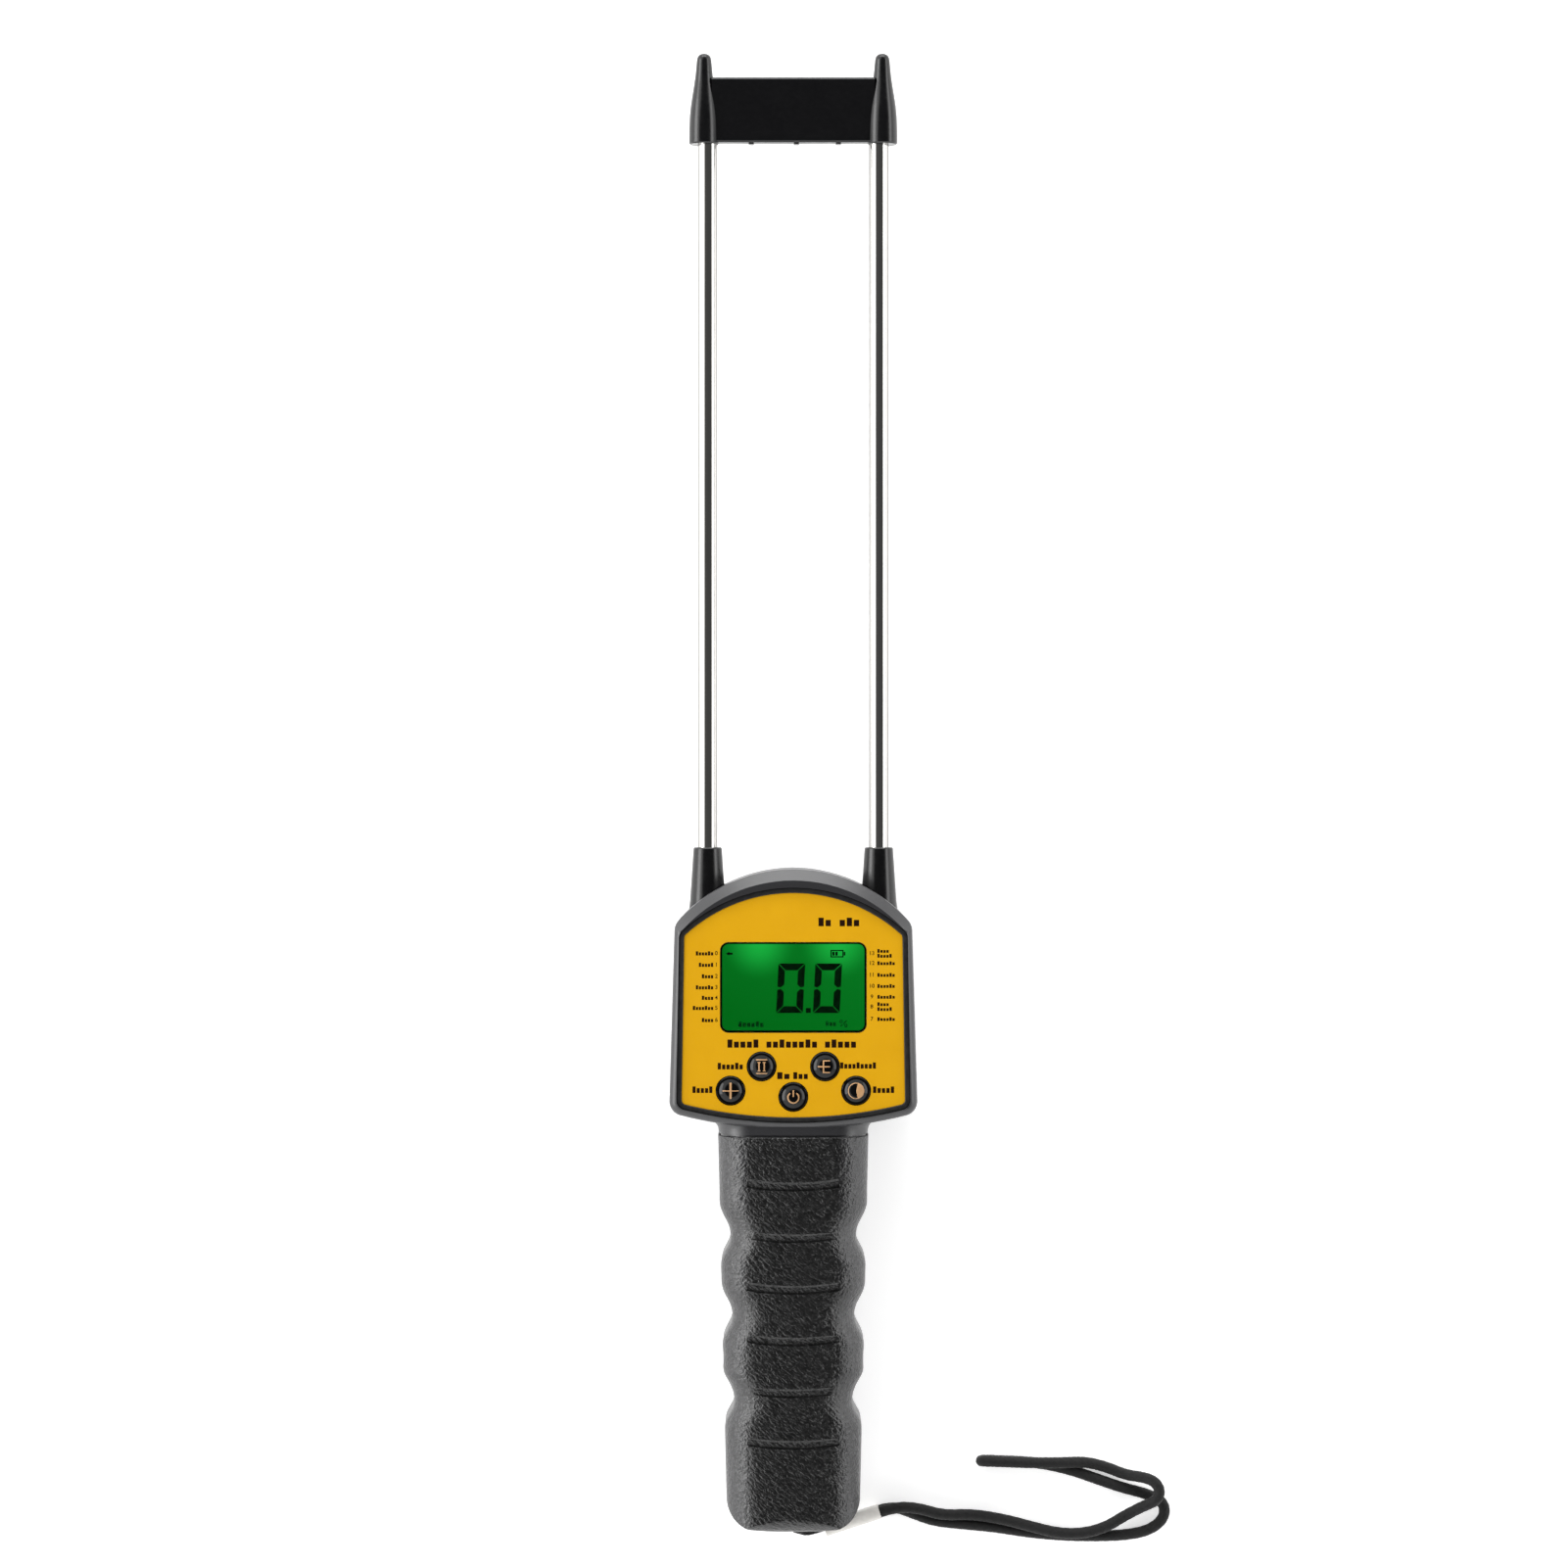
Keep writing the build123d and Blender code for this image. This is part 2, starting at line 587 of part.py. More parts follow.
def main_board():
    board = block(-BOARD_HALF, BOARD_HALF, BOARD_BOTTOM_Y, BOARD_TOP_Y, BOARD_Z,
                  BOARD_Z + BOARD_THICK)
    board = fillet(board.edges().filter_by(Axis.Z), 2.5)
    for x, y in BOARD_SCREW_PLACES:
        board -= cylinder(x, y, BOARD_Z - 1, BOARD_Z + 3, 1.1)
    return board


def board_screws():
    screws = []
    for x, y in BOARD_SCREW_PLACES:
        screw = cylinder(x, y, BOARD_Z - BOARD_SCREW_HEAD, BOARD_Z, 2 * BOARD_THREAD_RADIUS)
        screw += cylinder(x, y, BOARD_Z, BOARD_Z + BOARD_SCREW_LENGTH, BOARD_THREAD_RADIUS)
        screws.append(screw - cross_slot(x, y, BOARD_Z - BOARD_SCREW_HEAD, 2.2, 0.6))
    return Compound(screws)


def cross_slot(x, y, z, length, width):
    """A cross recess in a screw head that faces down."""
    slot = block(x - length / 2, x + length / 2, y - width / 2, y + width / 2, z - 1, z + 0.7)
    return slot + block(x - width / 2, x + width / 2, y - length / 2, y + length / 2, z - 1, z + 0.7)


def controller_chip():
    x, y = CHIP_PLACE
    half = CHIP_SIDE / 2
    return block(x - half, x + half, y - half, y + half, BOARD_Z - CHIP_HIGH, BOARD_Z)


def board_parts():
    """Small components under the board: a crystal, two capacitors, a coil and two plugs."""
    places = [
        (9, -58, 5, 2.2, 2.4), (16, -66, 3.2, 1.6, 1.0), (16, -70, 3.2, 1.6, 1.0),
        (4, -52, 6, 6, 2.8), (-18, -58, 4, 4, 1.4), (-17, -70, 7, 3.6, 3.4),
    ]
    return Compound([
        block(x - wide / 2, x + wide / 2, y - deep / 2, y + deep / 2, BOARD_Z - high, BOARD_Z)
        for x, y, wide, deep, high in places
    ])


# ---------------------------------------------------------------- probe
def electrode_rod(x):
    profile = [(ROD_BORE, ROD_INNER_Y), (ROD_RADIUS, ROD_INNER_Y),
               (ROD_RADIUS, BRIDGE_Y + ROD_SOCKET), (ROD_BORE, BRIDGE_Y + ROD_SOCKET)]
    return turned(profile, x, SPLIT_Z)


def rod_bore(x):
    middle = BRIDGE_Y + ROD_SOCKET / 2
    return Pos(x, middle, SPLIT_Z) * Rot(90, 0, 0) * Cylinder(ROD_RADIUS, ROD_SOCKET)


def spike_body(side):
    """A blunt pointed cap that stands a little outside the rod it closes."""
    profile = make_face([
        Line((0, BRIDGE_Y), (SPIKE_RADIUS - 0.4, BRIDGE_Y)),
        Line((SPIKE_RADIUS - 0.4, BRIDGE_Y), (SPIKE_RADIUS, BRIDGE_Y + 0.4)),
        Spline((SPIKE_RADIUS, BRIDGE_Y + 0.4), (4.25, BRIDGE_Y + 11.4), (2.75, BRIDGE_Y + 21.4),
               (2.3, TIP_Y - 2.2), tangents=((0, 1), (-0.1, 1))),
        Spline((2.3, TIP_Y - 2.2), (1.7, TIP_Y - 0.6), (0, TIP_Y), tangents=((-0.1, 1), (-1, 0))),
        Line((0, TIP_Y), (0, BRIDGE_Y)),
    ])
    return Pos(side * SPIKE_X, 0, SPLIT_Z) * revolve(profile, Axis.Y, 360)


def tip_bridge():
    """The plate between the caps, with three small feet on its lower edge."""
    low = SPLIT_Z - BRIDGE_DEPTH / 2
    high = SPLIT_Z + BRIDGE_DEPTH / 2
    plate_body = block(-BRIDGE_HALF, BRIDGE_HALF, BRIDGE_Y + 0.4, BRIDGE_Y + BRIDGE_HEIGHT, low, high)
    plate_body = fillet(plate_body.edges().filter_by(Axis.X), 1.0)
    for x in (-13, 1, 14):
        plate_body += block(x - 0.8, x + 0.8, BRIDGE_Y, BRIDGE_Y + 1, low + 1.2, high - 1.2)
    for side in (-1, 1):
        plate_body -= spike_body(side)
    return plate_body


def rod_clamp(x):
    low, high = CLAMP_Y
    middle = (low + high) / 2
    clamp = block(x - CLAMP_HALF, x + CLAMP_HALF, low, high, SPLIT_Z - 4.5, SPLIT_Z + 4.5)
    clamp -= Pos(x, middle, SPLIT_Z) * Rot(90, 0, 0) * Cylinder(ROD_RADIUS, 12)
    return clamp - cylinder(x, middle, SPLIT_Z + 2, SPLIT_Z + 6, 1.25)


def clamp_screws():
    screws = []
    y = sum(CLAMP_Y) / 2
    for side in (-1, 1):
        x = side * ROD_X
        screw = cylinder(x, y, SPLIT_Z + ROD_RADIUS, SPLIT_Z + 4.5, 1.25)
        screw += cylinder(x, y, SPLIT_Z + 4.5, SPLIT_Z + 6.4, 2.4)
        screws.append(screw - block(x - 3, x + 3, y - 0.3, y + 0.3, SPLIT_Z + 5.7, SPLIT_Z + 7))
    return Compound(screws)


def signal_wire(side):
    start = side * (ROD_X - CLAMP_HALF)
    y = sum(CLAMP_Y) / 2
    route = [(start, y, SPLIT_Z), (start - side * 4, y, SPLIT_Z),
             (start - side * 6, y - 2, SPLIT_Z + 3), (start - side * 6, y - 2, BOARD_Z)]
    return tube("signal_wire", route, 1.3)


# ---------------------------------------------------------------- power and sound
def battery(x, nub_y, direction):
    """An AAA cell from the face of its nub; direction is +1 where the nub points to the tips."""
    body_y = nub_y - direction * 0.9
    end_y = nub_y - direction * CELL_LENGTH
    middle = (body_y + end_y) / 2
    cell = Pos(x, middle, CELL_Z) * Rot(90, 0, 0) * Cylinder(CELL_RADIUS, abs(body_y - end_y))
    cell = fillet(cell.edges(), 0.5)
    nub = Pos(x, nub_y - direction * 0.9, CELL_Z) * Rot(90, 0, 0) * Cylinder(1.9, 1.8)
    return cell + nub


def battery_cells():
    top = BAY_TOP_Y - CONTACT_THICK
    bottom = BAY_BOTTOM_Y + CONTACT_THICK
    return {
        "battery_1": battery(-CELL_X, top, 1),
        "battery_2": battery(-CELL_X, top - CELL_LENGTH, 1),
        "battery_3": battery(CELL_X, bottom + CELL_LENGTH, -1),
        "battery_4": battery(CELL_X, bottom, -1),
    }


def battery_contacts():
    """Two separate plates at the top of the bay and one bridging plate at the bottom."""
    top = BAY_TOP_Y - CONTACT_THICK
    bottom = BAY_BOTTOM_Y + CONTACT_THICK
    side = BAY_HALF - 0.6
    left = block(-side, -CONTACT_GAP, top, BAY_TOP_Y, *CONTACT_Z)
    right = block(CONTACT_GAP, side, top, BAY_TOP_Y, *CONTACT_Z)
    bridge = block(-side, side, BAY_BOTTOM_Y, bottom, *CONTACT_Z)
    return Compound([left, right, bridge])


def battery_spring(x, plate_y, direction):
    """A short coil that stands on its contact plate and presses a cell."""
    room = (BAY_TOP_Y - BAY_BOTTOM_Y) - 2 * CONTACT_THICK - 2 * CELL_LENGTH
    wire = 0.35
    height = room - 2 * wire
    coil = Helix(pitch=height / 4, height=height, radius=2.9)
    section = Plane(origin=coil @ 0, z_dir=coil % 0) * Circle(wire)
    spring = sweep(section, path=coil)
    turn = 90 if direction < 0 else -90
    return Pos(x, plate_y + direction * wire, CELL_Z) * Rot(turn, 0, 0) * spring


def battery_springs():
    top = BAY_TOP_Y - CONTACT_THICK
    bottom = BAY_BOTTOM_Y + CONTACT_THICK
    return Compound([battery_spring(CELL_X, top, -1), battery_spring(-CELL_X, bottom, 1)])


def battery_wires():
    wires = []
    for side in (-1, 1):
        route = [(side * 5, BAY_TOP_Y + BAY_WALL, 10), (side * 5, BAY_TOP_Y + 7, 10),
                 (side * 8, -95, 17), (side * 8, -95, BOARD_Z)]
        wires.append(tube("battery_wire", route, 1.4))
    return Compound(wires)


def cover_pins(radius, extra):
    """The two pips at the upper end of the cover that it swings on."""
    length = 1.0 + extra
    pins = []
    for side in (-1, 1):
        middle = side * (COVER_HALF + length / 2)
        pins.append(Pos(middle, COVER_PIVOT_Y, COVER_PIVOT_Z) * Rot(0, 90, 0)
                    * Cylinder(radius, length))
    return pins[0] + pins[1]


def battery_cover():
    high = COVER_LOW_Z + COVER_THICK
    cover = block(-COVER_HALF, COVER_HALF, COVER_END_Y, COVER_PIVOT_Y, COVER_LOW_Z, high)
    cover += (Pos(0, COVER_PIVOT_Y, COVER_PIVOT_Z) * Rot(0, 90, 0)
              * Cylinder(COVER_THICK / 2, 2 * COVER_HALF))
    for index in range(5):
        y = COVER_END_Y + 4 + 2 * index
        cover -= block(-6, 6, y - 0.4, y + 0.4, COVER_LOW_Z - 1, COVER_LOW_Z + 0.5)
    return cover + cover_pins(PIN_RADIUS, 0)


def housing_screws():
    screws = []
    for x, y in HOUSING_SCREW_PLACES:
        screw = cylinder(x, y, *SCREW_HEAD_Z, SCREW_HEAD_RADIUS)
        screw += cylinder(x, y, SCREW_HEAD_Z[1], SPLIT_Z + 7.5, THREAD_RADIUS)
        screws.append(screw - cross_slot(x, y, SCREW_HEAD_Z[0], 3.0, 0.8))
    return Compound(screws)


def speaker():
    cone = cylinder(0, SPEAKER_Y, WALL, WALL + 1.6, SPEAKER_RADIUS - 0.1)
    return cone + cylinder(0, SPEAKER_Y, WALL + 1.6, WALL + 4.4, 6.0)


def speaker_wires():
    wires = []
    for side in (-1, 1):
        route = [(side * 2, SPEAKER_Y, WALL + 4.4), (side * 2, SPEAKER_Y, 11),
                 (side * 5, SPEAKER_Y + 3, 18), (side * 5, SPEAKER_Y + 3, BOARD_Z)]
        wires.append(tube("speaker_wire", route, 1.1))
    return Compound(wires)


# ---------------------------------------------------------------- strap
# The string leaves the ferrule along the table, rises round the bar and comes back above itself.
STRING_ROUTE = [
    (10.0, -231.5, 1.2), (6.2, -232.74, 1.2), (2.6, -233.2, 0.9), (-0.6, -232.0, 1.6),
    (-2.0, -229.2, 3.0), (-1.8, -226.2, 4.3), (-1.4, -223.9, 5.2), (-1.0, -223.8, 8.2),
    (-0.6, -226.2, 9.5), (0.2, -229.4, 8.4), (1.4, -231.6, 6.0), (3.6, -233.0, 3.9),
    (6.6, -232.61, 3.0), (10.0, -231.5, 3.0),
]

# The cord leaves the ferrule as two strands. The outer one stays on the table all the way to the
# fold at the far end; the other one crosses it twice in low humps and lies on it at both ends.
OUTER_STRAND = [
    (27.1, -225.9, 1.85), (31.6, -224.6, 1.8), (37.6, -226.9, 1.8), (44.2, -229.3, 1.8),
    (53.0, -230.2, 1.8), (63.0, -231.1, 1.8), (73.5, -232.8, 1.8), (84.5, -233.8, 1.8),
    (95.5, -234.0, 1.8), (105.0, -233.6, 1.8), (112.0, -232.0, 1.8), (116.4, -228.2, 1.8),
    (116.2, -223.4, 1.8), (111.0, -220.8, 1.8), (103.0, -218.8, 1.8), (95.5, -216.2, 1.8),
    (87.0, -213.2, 1.8), (78.0, -211.2, 1.8), (70.5, -210.6, 1.8), (65.0, -210.45, 1.8),
]
FOLD = [(60.0, -210.2, 1.8), (58.3, -209.9, 5.3), (60.5, -209.5, 8.7)]
INNER_STRAND = [
    (67.0, -209.9, 7.5), (75.0, -210.4, 6.2), (84.0, -210.5, 5.3), (91.5, -210.6, 2.6),
    (98.0, -212.3, 1.8), (104.0, -214.7, 2.5), (109.0, -215.0, 4.8), (112.6, -215.9, 6.4),
    (114.6, -218.6, 7.1), (113.6, -222.0, 7.1), (109.2, -224.2, 5.2), (103.8, -227.4, 3.0),
    (98.0, -230.6, 4.8), (91.0, -232.4, 6.2), (83.0, -232.4, 6.3), (75.0, -230.6, 5.2),
    (66.0, -228.4, 3.9), (56.0, -226.9, 3.0), (46.8, -227.1, 4.2), (39.4, -224.7, 5.3),
    (32.3, -224.2, 5.4), (27.1, -225.9, 5.35),
]


def strap_ferrule():
    """A crimped tube that stands taller than wide, round the ends of the cord and the string."""
    start = Vector(FERRULE_START[0], FERRULE_START[1], FERRULE_HIGH / 2)
    end = Vector(FERRULE_END[0], FERRULE_END[1], FERRULE_HIGH / 2)
    along = (end - start).normalized()
    flat = Plane(origin=start, x_dir=Vector(0, 0, 1), z_dir=along)
    section = flat * RectangleRounded(FERRULE_HIGH, FERRULE_WIDE, FERRULE_WIDE / 2 - 0.05)
    return extrude(section, (end - start).length, dir=along)


def write(name, shape):
    export_step(shape, f"parts/{name}.step")


def main():
    os.makedirs("parts", exist_ok=True)
    form = outer_form()
    hollow = cavity()
    groove = seam_groove(form)
    write("front_housing", front_housing(form, hollow, groove))
    write("rear_housing", rear_housing(form, hollow, groove))
    write("face_panel", face_panel())
    write("panel_gasket", panel_gasket())
    write("display_lens", display_lens())
    for name, shape in display_stack().items():
        write(name, shape)
    for name, (x, y) in KEYS.items():
        write(f"key_{name}", key_cap(x, y))
        write(f"switch_plunger_{name}", switch_plunger(x, y))
    write("tact_switches", tact_switches())
    write("main_board", main_board())
    write("board_screws", board_screws())
    write("board_parts", board_parts())
    write("controller_chip", controller_chip())
    write("tip_bridge", tip_bridge())
    for name, side in (("left", -1), ("right", 1)):
        write(f"electrode_rod_{name}", electrode_rod(side * ROD_X))
        write(f"rod_sleeve_{name}", rod_sleeve(side * ROD_X))
        write(f"tip_spike_{name}", spike_body(side) - rod_bore(side * ROD_X))
        write(f"rod_clamp_{name}", rod_clamp(side * ROD_X))
        write(f"signal_wire_{name}", signal_wire(side))
    write("clamp_screws", clamp_screws())
    for name, shape in battery_cells().items():
        write(name, shape)
    write("battery_contacts", battery_contacts())
    write("battery_springs", battery_springs())
    write("battery_wires", battery_wires())
    write("battery_cover", battery_cover())
    write("housing_screws", housing_screws())
    write("speaker", speaker())
    write("speaker_wires", speaker_wires())
    write("strap_ferrule", strap_ferrule())
    write("strap_string", tube("strap_string", STRING_ROUTE, STRING_DIAMETER))
    strap_route = OUTER_STRAND + FOLD + INNER_STRAND
    write("wrist_strap", tube("wrist_strap", strap_route, STRAP_DIAMETER))


main()
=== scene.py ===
"""The looks of a handheld moisture meter with a two-rod probe, lying on its back on a pale table.

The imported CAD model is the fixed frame, in metres: the probe points along +Y and the table is z = 0.
Everything added here is printing, liquid crystal, cord and finish, placed from the CAD nodes' own boxes.
"""

import math

import bpy
import numpy as np
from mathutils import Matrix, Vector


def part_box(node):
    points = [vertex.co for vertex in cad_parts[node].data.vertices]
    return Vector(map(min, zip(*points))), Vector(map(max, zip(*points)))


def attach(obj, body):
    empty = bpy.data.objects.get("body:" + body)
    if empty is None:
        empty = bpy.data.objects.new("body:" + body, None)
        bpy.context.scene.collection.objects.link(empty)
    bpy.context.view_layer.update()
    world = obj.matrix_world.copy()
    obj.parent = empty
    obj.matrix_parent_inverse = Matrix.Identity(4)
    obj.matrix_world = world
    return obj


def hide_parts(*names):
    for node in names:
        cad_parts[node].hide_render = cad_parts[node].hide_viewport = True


MM = 0.001

# The camera looks straight down on the meter, with the probe up the picture.
CAMERA_PLACE = (-2.85 * MM, 1.6 * MM, 1350 * MM)
CAMERA_LENS_MM = 98.8
CAMERA_SENSOR_MM = 36.0

# The light tent: how bright its wall is, and the factor on that from its left to its right;
# then its dark hood, which leans right by HOOD_LEAN degrees and fades in over HOOD_EDGE,
# the cosine of the angle from its middle.
TENT_BRIGHT = 1.7
TENT_SIDES = (1.2, 0.8)
HOOD_DARK = 0.08
HOOD_EDGE = (0.66, 0.76)
HOOD_LEAN = 7.0

# Soft boxes that face the meter: place and size in metres, and power in watts.
SOFT_BOXES = {
    "left_box": ((-1.15, 0.1, 0.55), (1.4, 0.5), 9.0),
    "right_box": ((1.15, 0.2, 0.55), (1.4, 0.4), 4.0),
    "top_box": ((0.0, 1.3, 0.42), (1.2, 0.26), 7.0),
}

# The table: how far it reaches from the meter, in metres, and its own glow.
TABLE_REACH = 4.0
TABLE_GLOW = 0.52

# The keys on the face, in mm: each one's x, y, the top of their domes, and the domes' radius.
KEY_PLACES = {
    "power": (0.0, -94.1),
    "adjust": (-9.7, -84.8),
    "varieties": (9.7, -84.8),
    "limit": (-19.2, -92.2),
    "voice": (19.2, -92.2),
}
KEY_TOP_Z = 35.2
KEY_DOME_CURVE = 5.75
ICON_LINE = 0.42

# How far each kind of mark stands off the surface that carries it, in mm.
ICON_LIFT = 0.02
PRINT_LIFT = 0.015
CRYSTAL_LIFT = 0.03

# The least area, in square mm, of a numeral's face that is kept.
SLIVER = 1e-6

# Printed words, as plain blocks: left, right, y and height in mm, and the blocks in each word.
PRINTED_WORDS = [
    (-20.4, 19.4, -77.8, 2.5, (5, 8, 5)),
    (7.4, 20.4, -40.6, 2.6, (2, 3)),
    (-23.3, -15.3, -84.7, 2.0, (6,)),
    (14.2, 25.4, -84.5, 1.9, (9,)),
    (-5.2, -0.9, -87.6, 2.1, (2,)),
    (-0.2, 4.6, -87.6, 2.1, (3,)),
    (-31.0, -24.6, -91.9, 2.0, (5,)),
    (24.2, 31.0, -91.9, 2.0, (5,)),
]

# The numbered rows beside the display: y in mm, and the blocks on each of the row's lines.
# They count up from 0 down the left, and down from RIGHT_FIRST on the right.
LEFT_ROWS = [(-50.2, 6), (-53.7, 5), (-57.2, 4), (-60.6, 6), (-63.8, 4), (-66.9, 7), (-70.6, 4)]
RIGHT_ROWS = [
    (-50.2, (4, 5)), (-53.2, (6,)), (-56.8, (6,)), (-60.2, (6,)),
    (-63.5, (6,)), (-66.5, (4, 5)), (-70.3, (6,)),
]
RIGHT_FIRST = 13
LEFT_NUMBER = {"x": -23.55, "size": 1.75}
RIGHT_NUMBER = {"x": 24.0, "size": 1.7}
LEFT_WORD_END = -24.4
LEFT_WORD_HIGH = 1.25
RIGHT_WORD_START = 25.6
RIGHT_WORD_HIGH = 1.15
ROW_BLOCK = 0.92
ROW_LINE_STEP = 1.5

# The display's marks in mm: the lower left corners of its two noughts, the point between them,
# the line of little marks along the top, and two faint words like the printed ones.
NOUGHT_LEFT = (-5.3, 6.0)
NOUGHT_LOW = -68.6
POINT_PLACE = (4.6, -67.8)
POINT_SIDE = 1.5
TOP_LINE_Y = -50.4
FAINT_WORDS = [
    (-17.0, -9.0, -72.0, 1.7, (6,)),
    (9.8, 13.2, -71.8, 1.5, (3,)),
]

# The display's two lamps in mm: their x, how far in from the upper edge, and how far they light.
LAMPS_X = (-10.5, 13.5)
LAMP_INSET = 1.2
LAMP_REACH = 12.0

# The grip's leather grain starts at the neck line; above it the moulding is smooth. Its front turns into its
# flanks over FLANK_EDGE, where the colour turns to a painted lighter flank, as if lit from the sides, and
# their grains slant opposite ways, by degrees.
GRAIN_START_Y = -106.6
GRAIN_FADE = 0.3
FLANK_EDGE = (12.5, 16.5)
GRAIN_STRETCH = (0.42, 1, 1)
FRONT_GRAIN = {"size": 0.85, "turn": 38}
FLANK_GRAIN = {"size": 0.95, "turn": -48}
PEBBLES = {"size": 1.25, "warp": 1.1}

# The skin's relief in mm, and how many times that the grain, the pebbles and the satin rise.
SKIN_RELIEF = 0.17
GRAIN_RISE = 2.6
PEBBLE_RISE = 0.35
SATIN_RISE = 0.06

# How little the rods reflect at a grazing angle.
ROD_EDGE_TINT = (0.16, 0.155, 0.15, 1.0)

# The width in mm that each node's edges are rounded over, where they turn by SHARP_DEGREES or more.
SOFT_EDGES = {
    "face_panel": 0.18,
    "battery_cover": 0.15,
    "tip_bridge": 0.25,
    "rod_sleeve_left": 0.2,
    "rod_sleeve_right": 0.2,
}
SHARP_DEGREES = 50

# Cords, in mm: the loop through the base end, and the doubled wrist strap.
STRING_DIAMETER = 1.3
STRAP_DIAMETER = 3.5
CORD_SIDES = 32

# A cord's yarns, and the length of one turn of a yarn, in radii of the cord.
BRAID_YARNS = 8
BRAID_LAY = 7.0
TWIST_YARNS = 3
TWIST_LAY = 6.0

# The points that the cords' lines are drawn from, in mm.
STRING_ROUTE = [
    (10.0, -231.5, 1.2), (6.2, -232.74, 1.2), (2.6, -233.2, 0.9), (-0.6, -232.0, 1.6),
    (-2.0, -229.2, 3.0), (-1.8, -226.2, 4.3), (-1.4, -223.9, 5.2), (-1.0, -223.8, 8.2),
    (-0.6, -226.2, 9.5), (0.2, -229.4, 8.4), (1.4, -231.6, 6.0), (3.6, -233.0, 3.9),
    (6.6, -232.61, 3.0), (10.0, -231.5, 3.0),
]
OUTER_STRAND = [
    (27.1, -225.9, 1.85), (31.6, -224.6, 1.8), (37.6, -226.9, 1.8), (44.2, -229.3, 1.8),
    (53.0, -230.2, 1.8), (63.0, -231.1, 1.8), (73.5, -232.8, 1.8), (84.5, -233.8, 1.8),
    (95.5, -234.0, 1.8), (105.0, -233.6, 1.8), (112.0, -232.0, 1.8), (116.4, -228.2, 1.8),
    (116.2, -223.4, 1.8), (111.0, -220.8, 1.8), (103.0, -218.8, 1.8), (95.5, -216.2, 1.8),
    (87.0, -213.2, 1.8), (78.0, -211.2, 1.8), (70.5, -210.6, 1.8), (65.0, -210.45, 1.8),
]
FOLD = [(60.0, -210.2, 1.8), (58.3, -209.9, 5.3), (60.5, -209.5, 8.7)]
INNER_STRAND = [
    (67.0, -209.9, 7.5), (75.0, -210.4, 6.2), (84.0, -210.5, 5.3), (91.5, -210.6, 2.6),
    (98.0, -212.3, 1.8), (104.0, -214.7, 2.5), (109.0, -215.0, 4.8), (112.6, -215.9, 6.4),
    (114.6, -218.6, 7.1), (113.6, -222.0, 7.1), (109.2, -224.2, 5.2), (103.8, -227.4, 3.0),
    (98.0, -230.6, 4.8), (91.0, -232.4, 6.2), (83.0, -232.4, 6.3), (75.0, -230.6, 5.2),
    (66.0, -228.4, 3.9), (56.0, -226.9, 3.0), (46.8, -227.1, 4.2), (39.4, -224.7, 5.3),
    (32.3, -224.2, 5.4), (27.1, -225.9, 5.35),
]
STRAP_ROUTE = OUTER_STRAND + FOLD + INNER_STRAND


# ---------------------------------------------------------------- materials


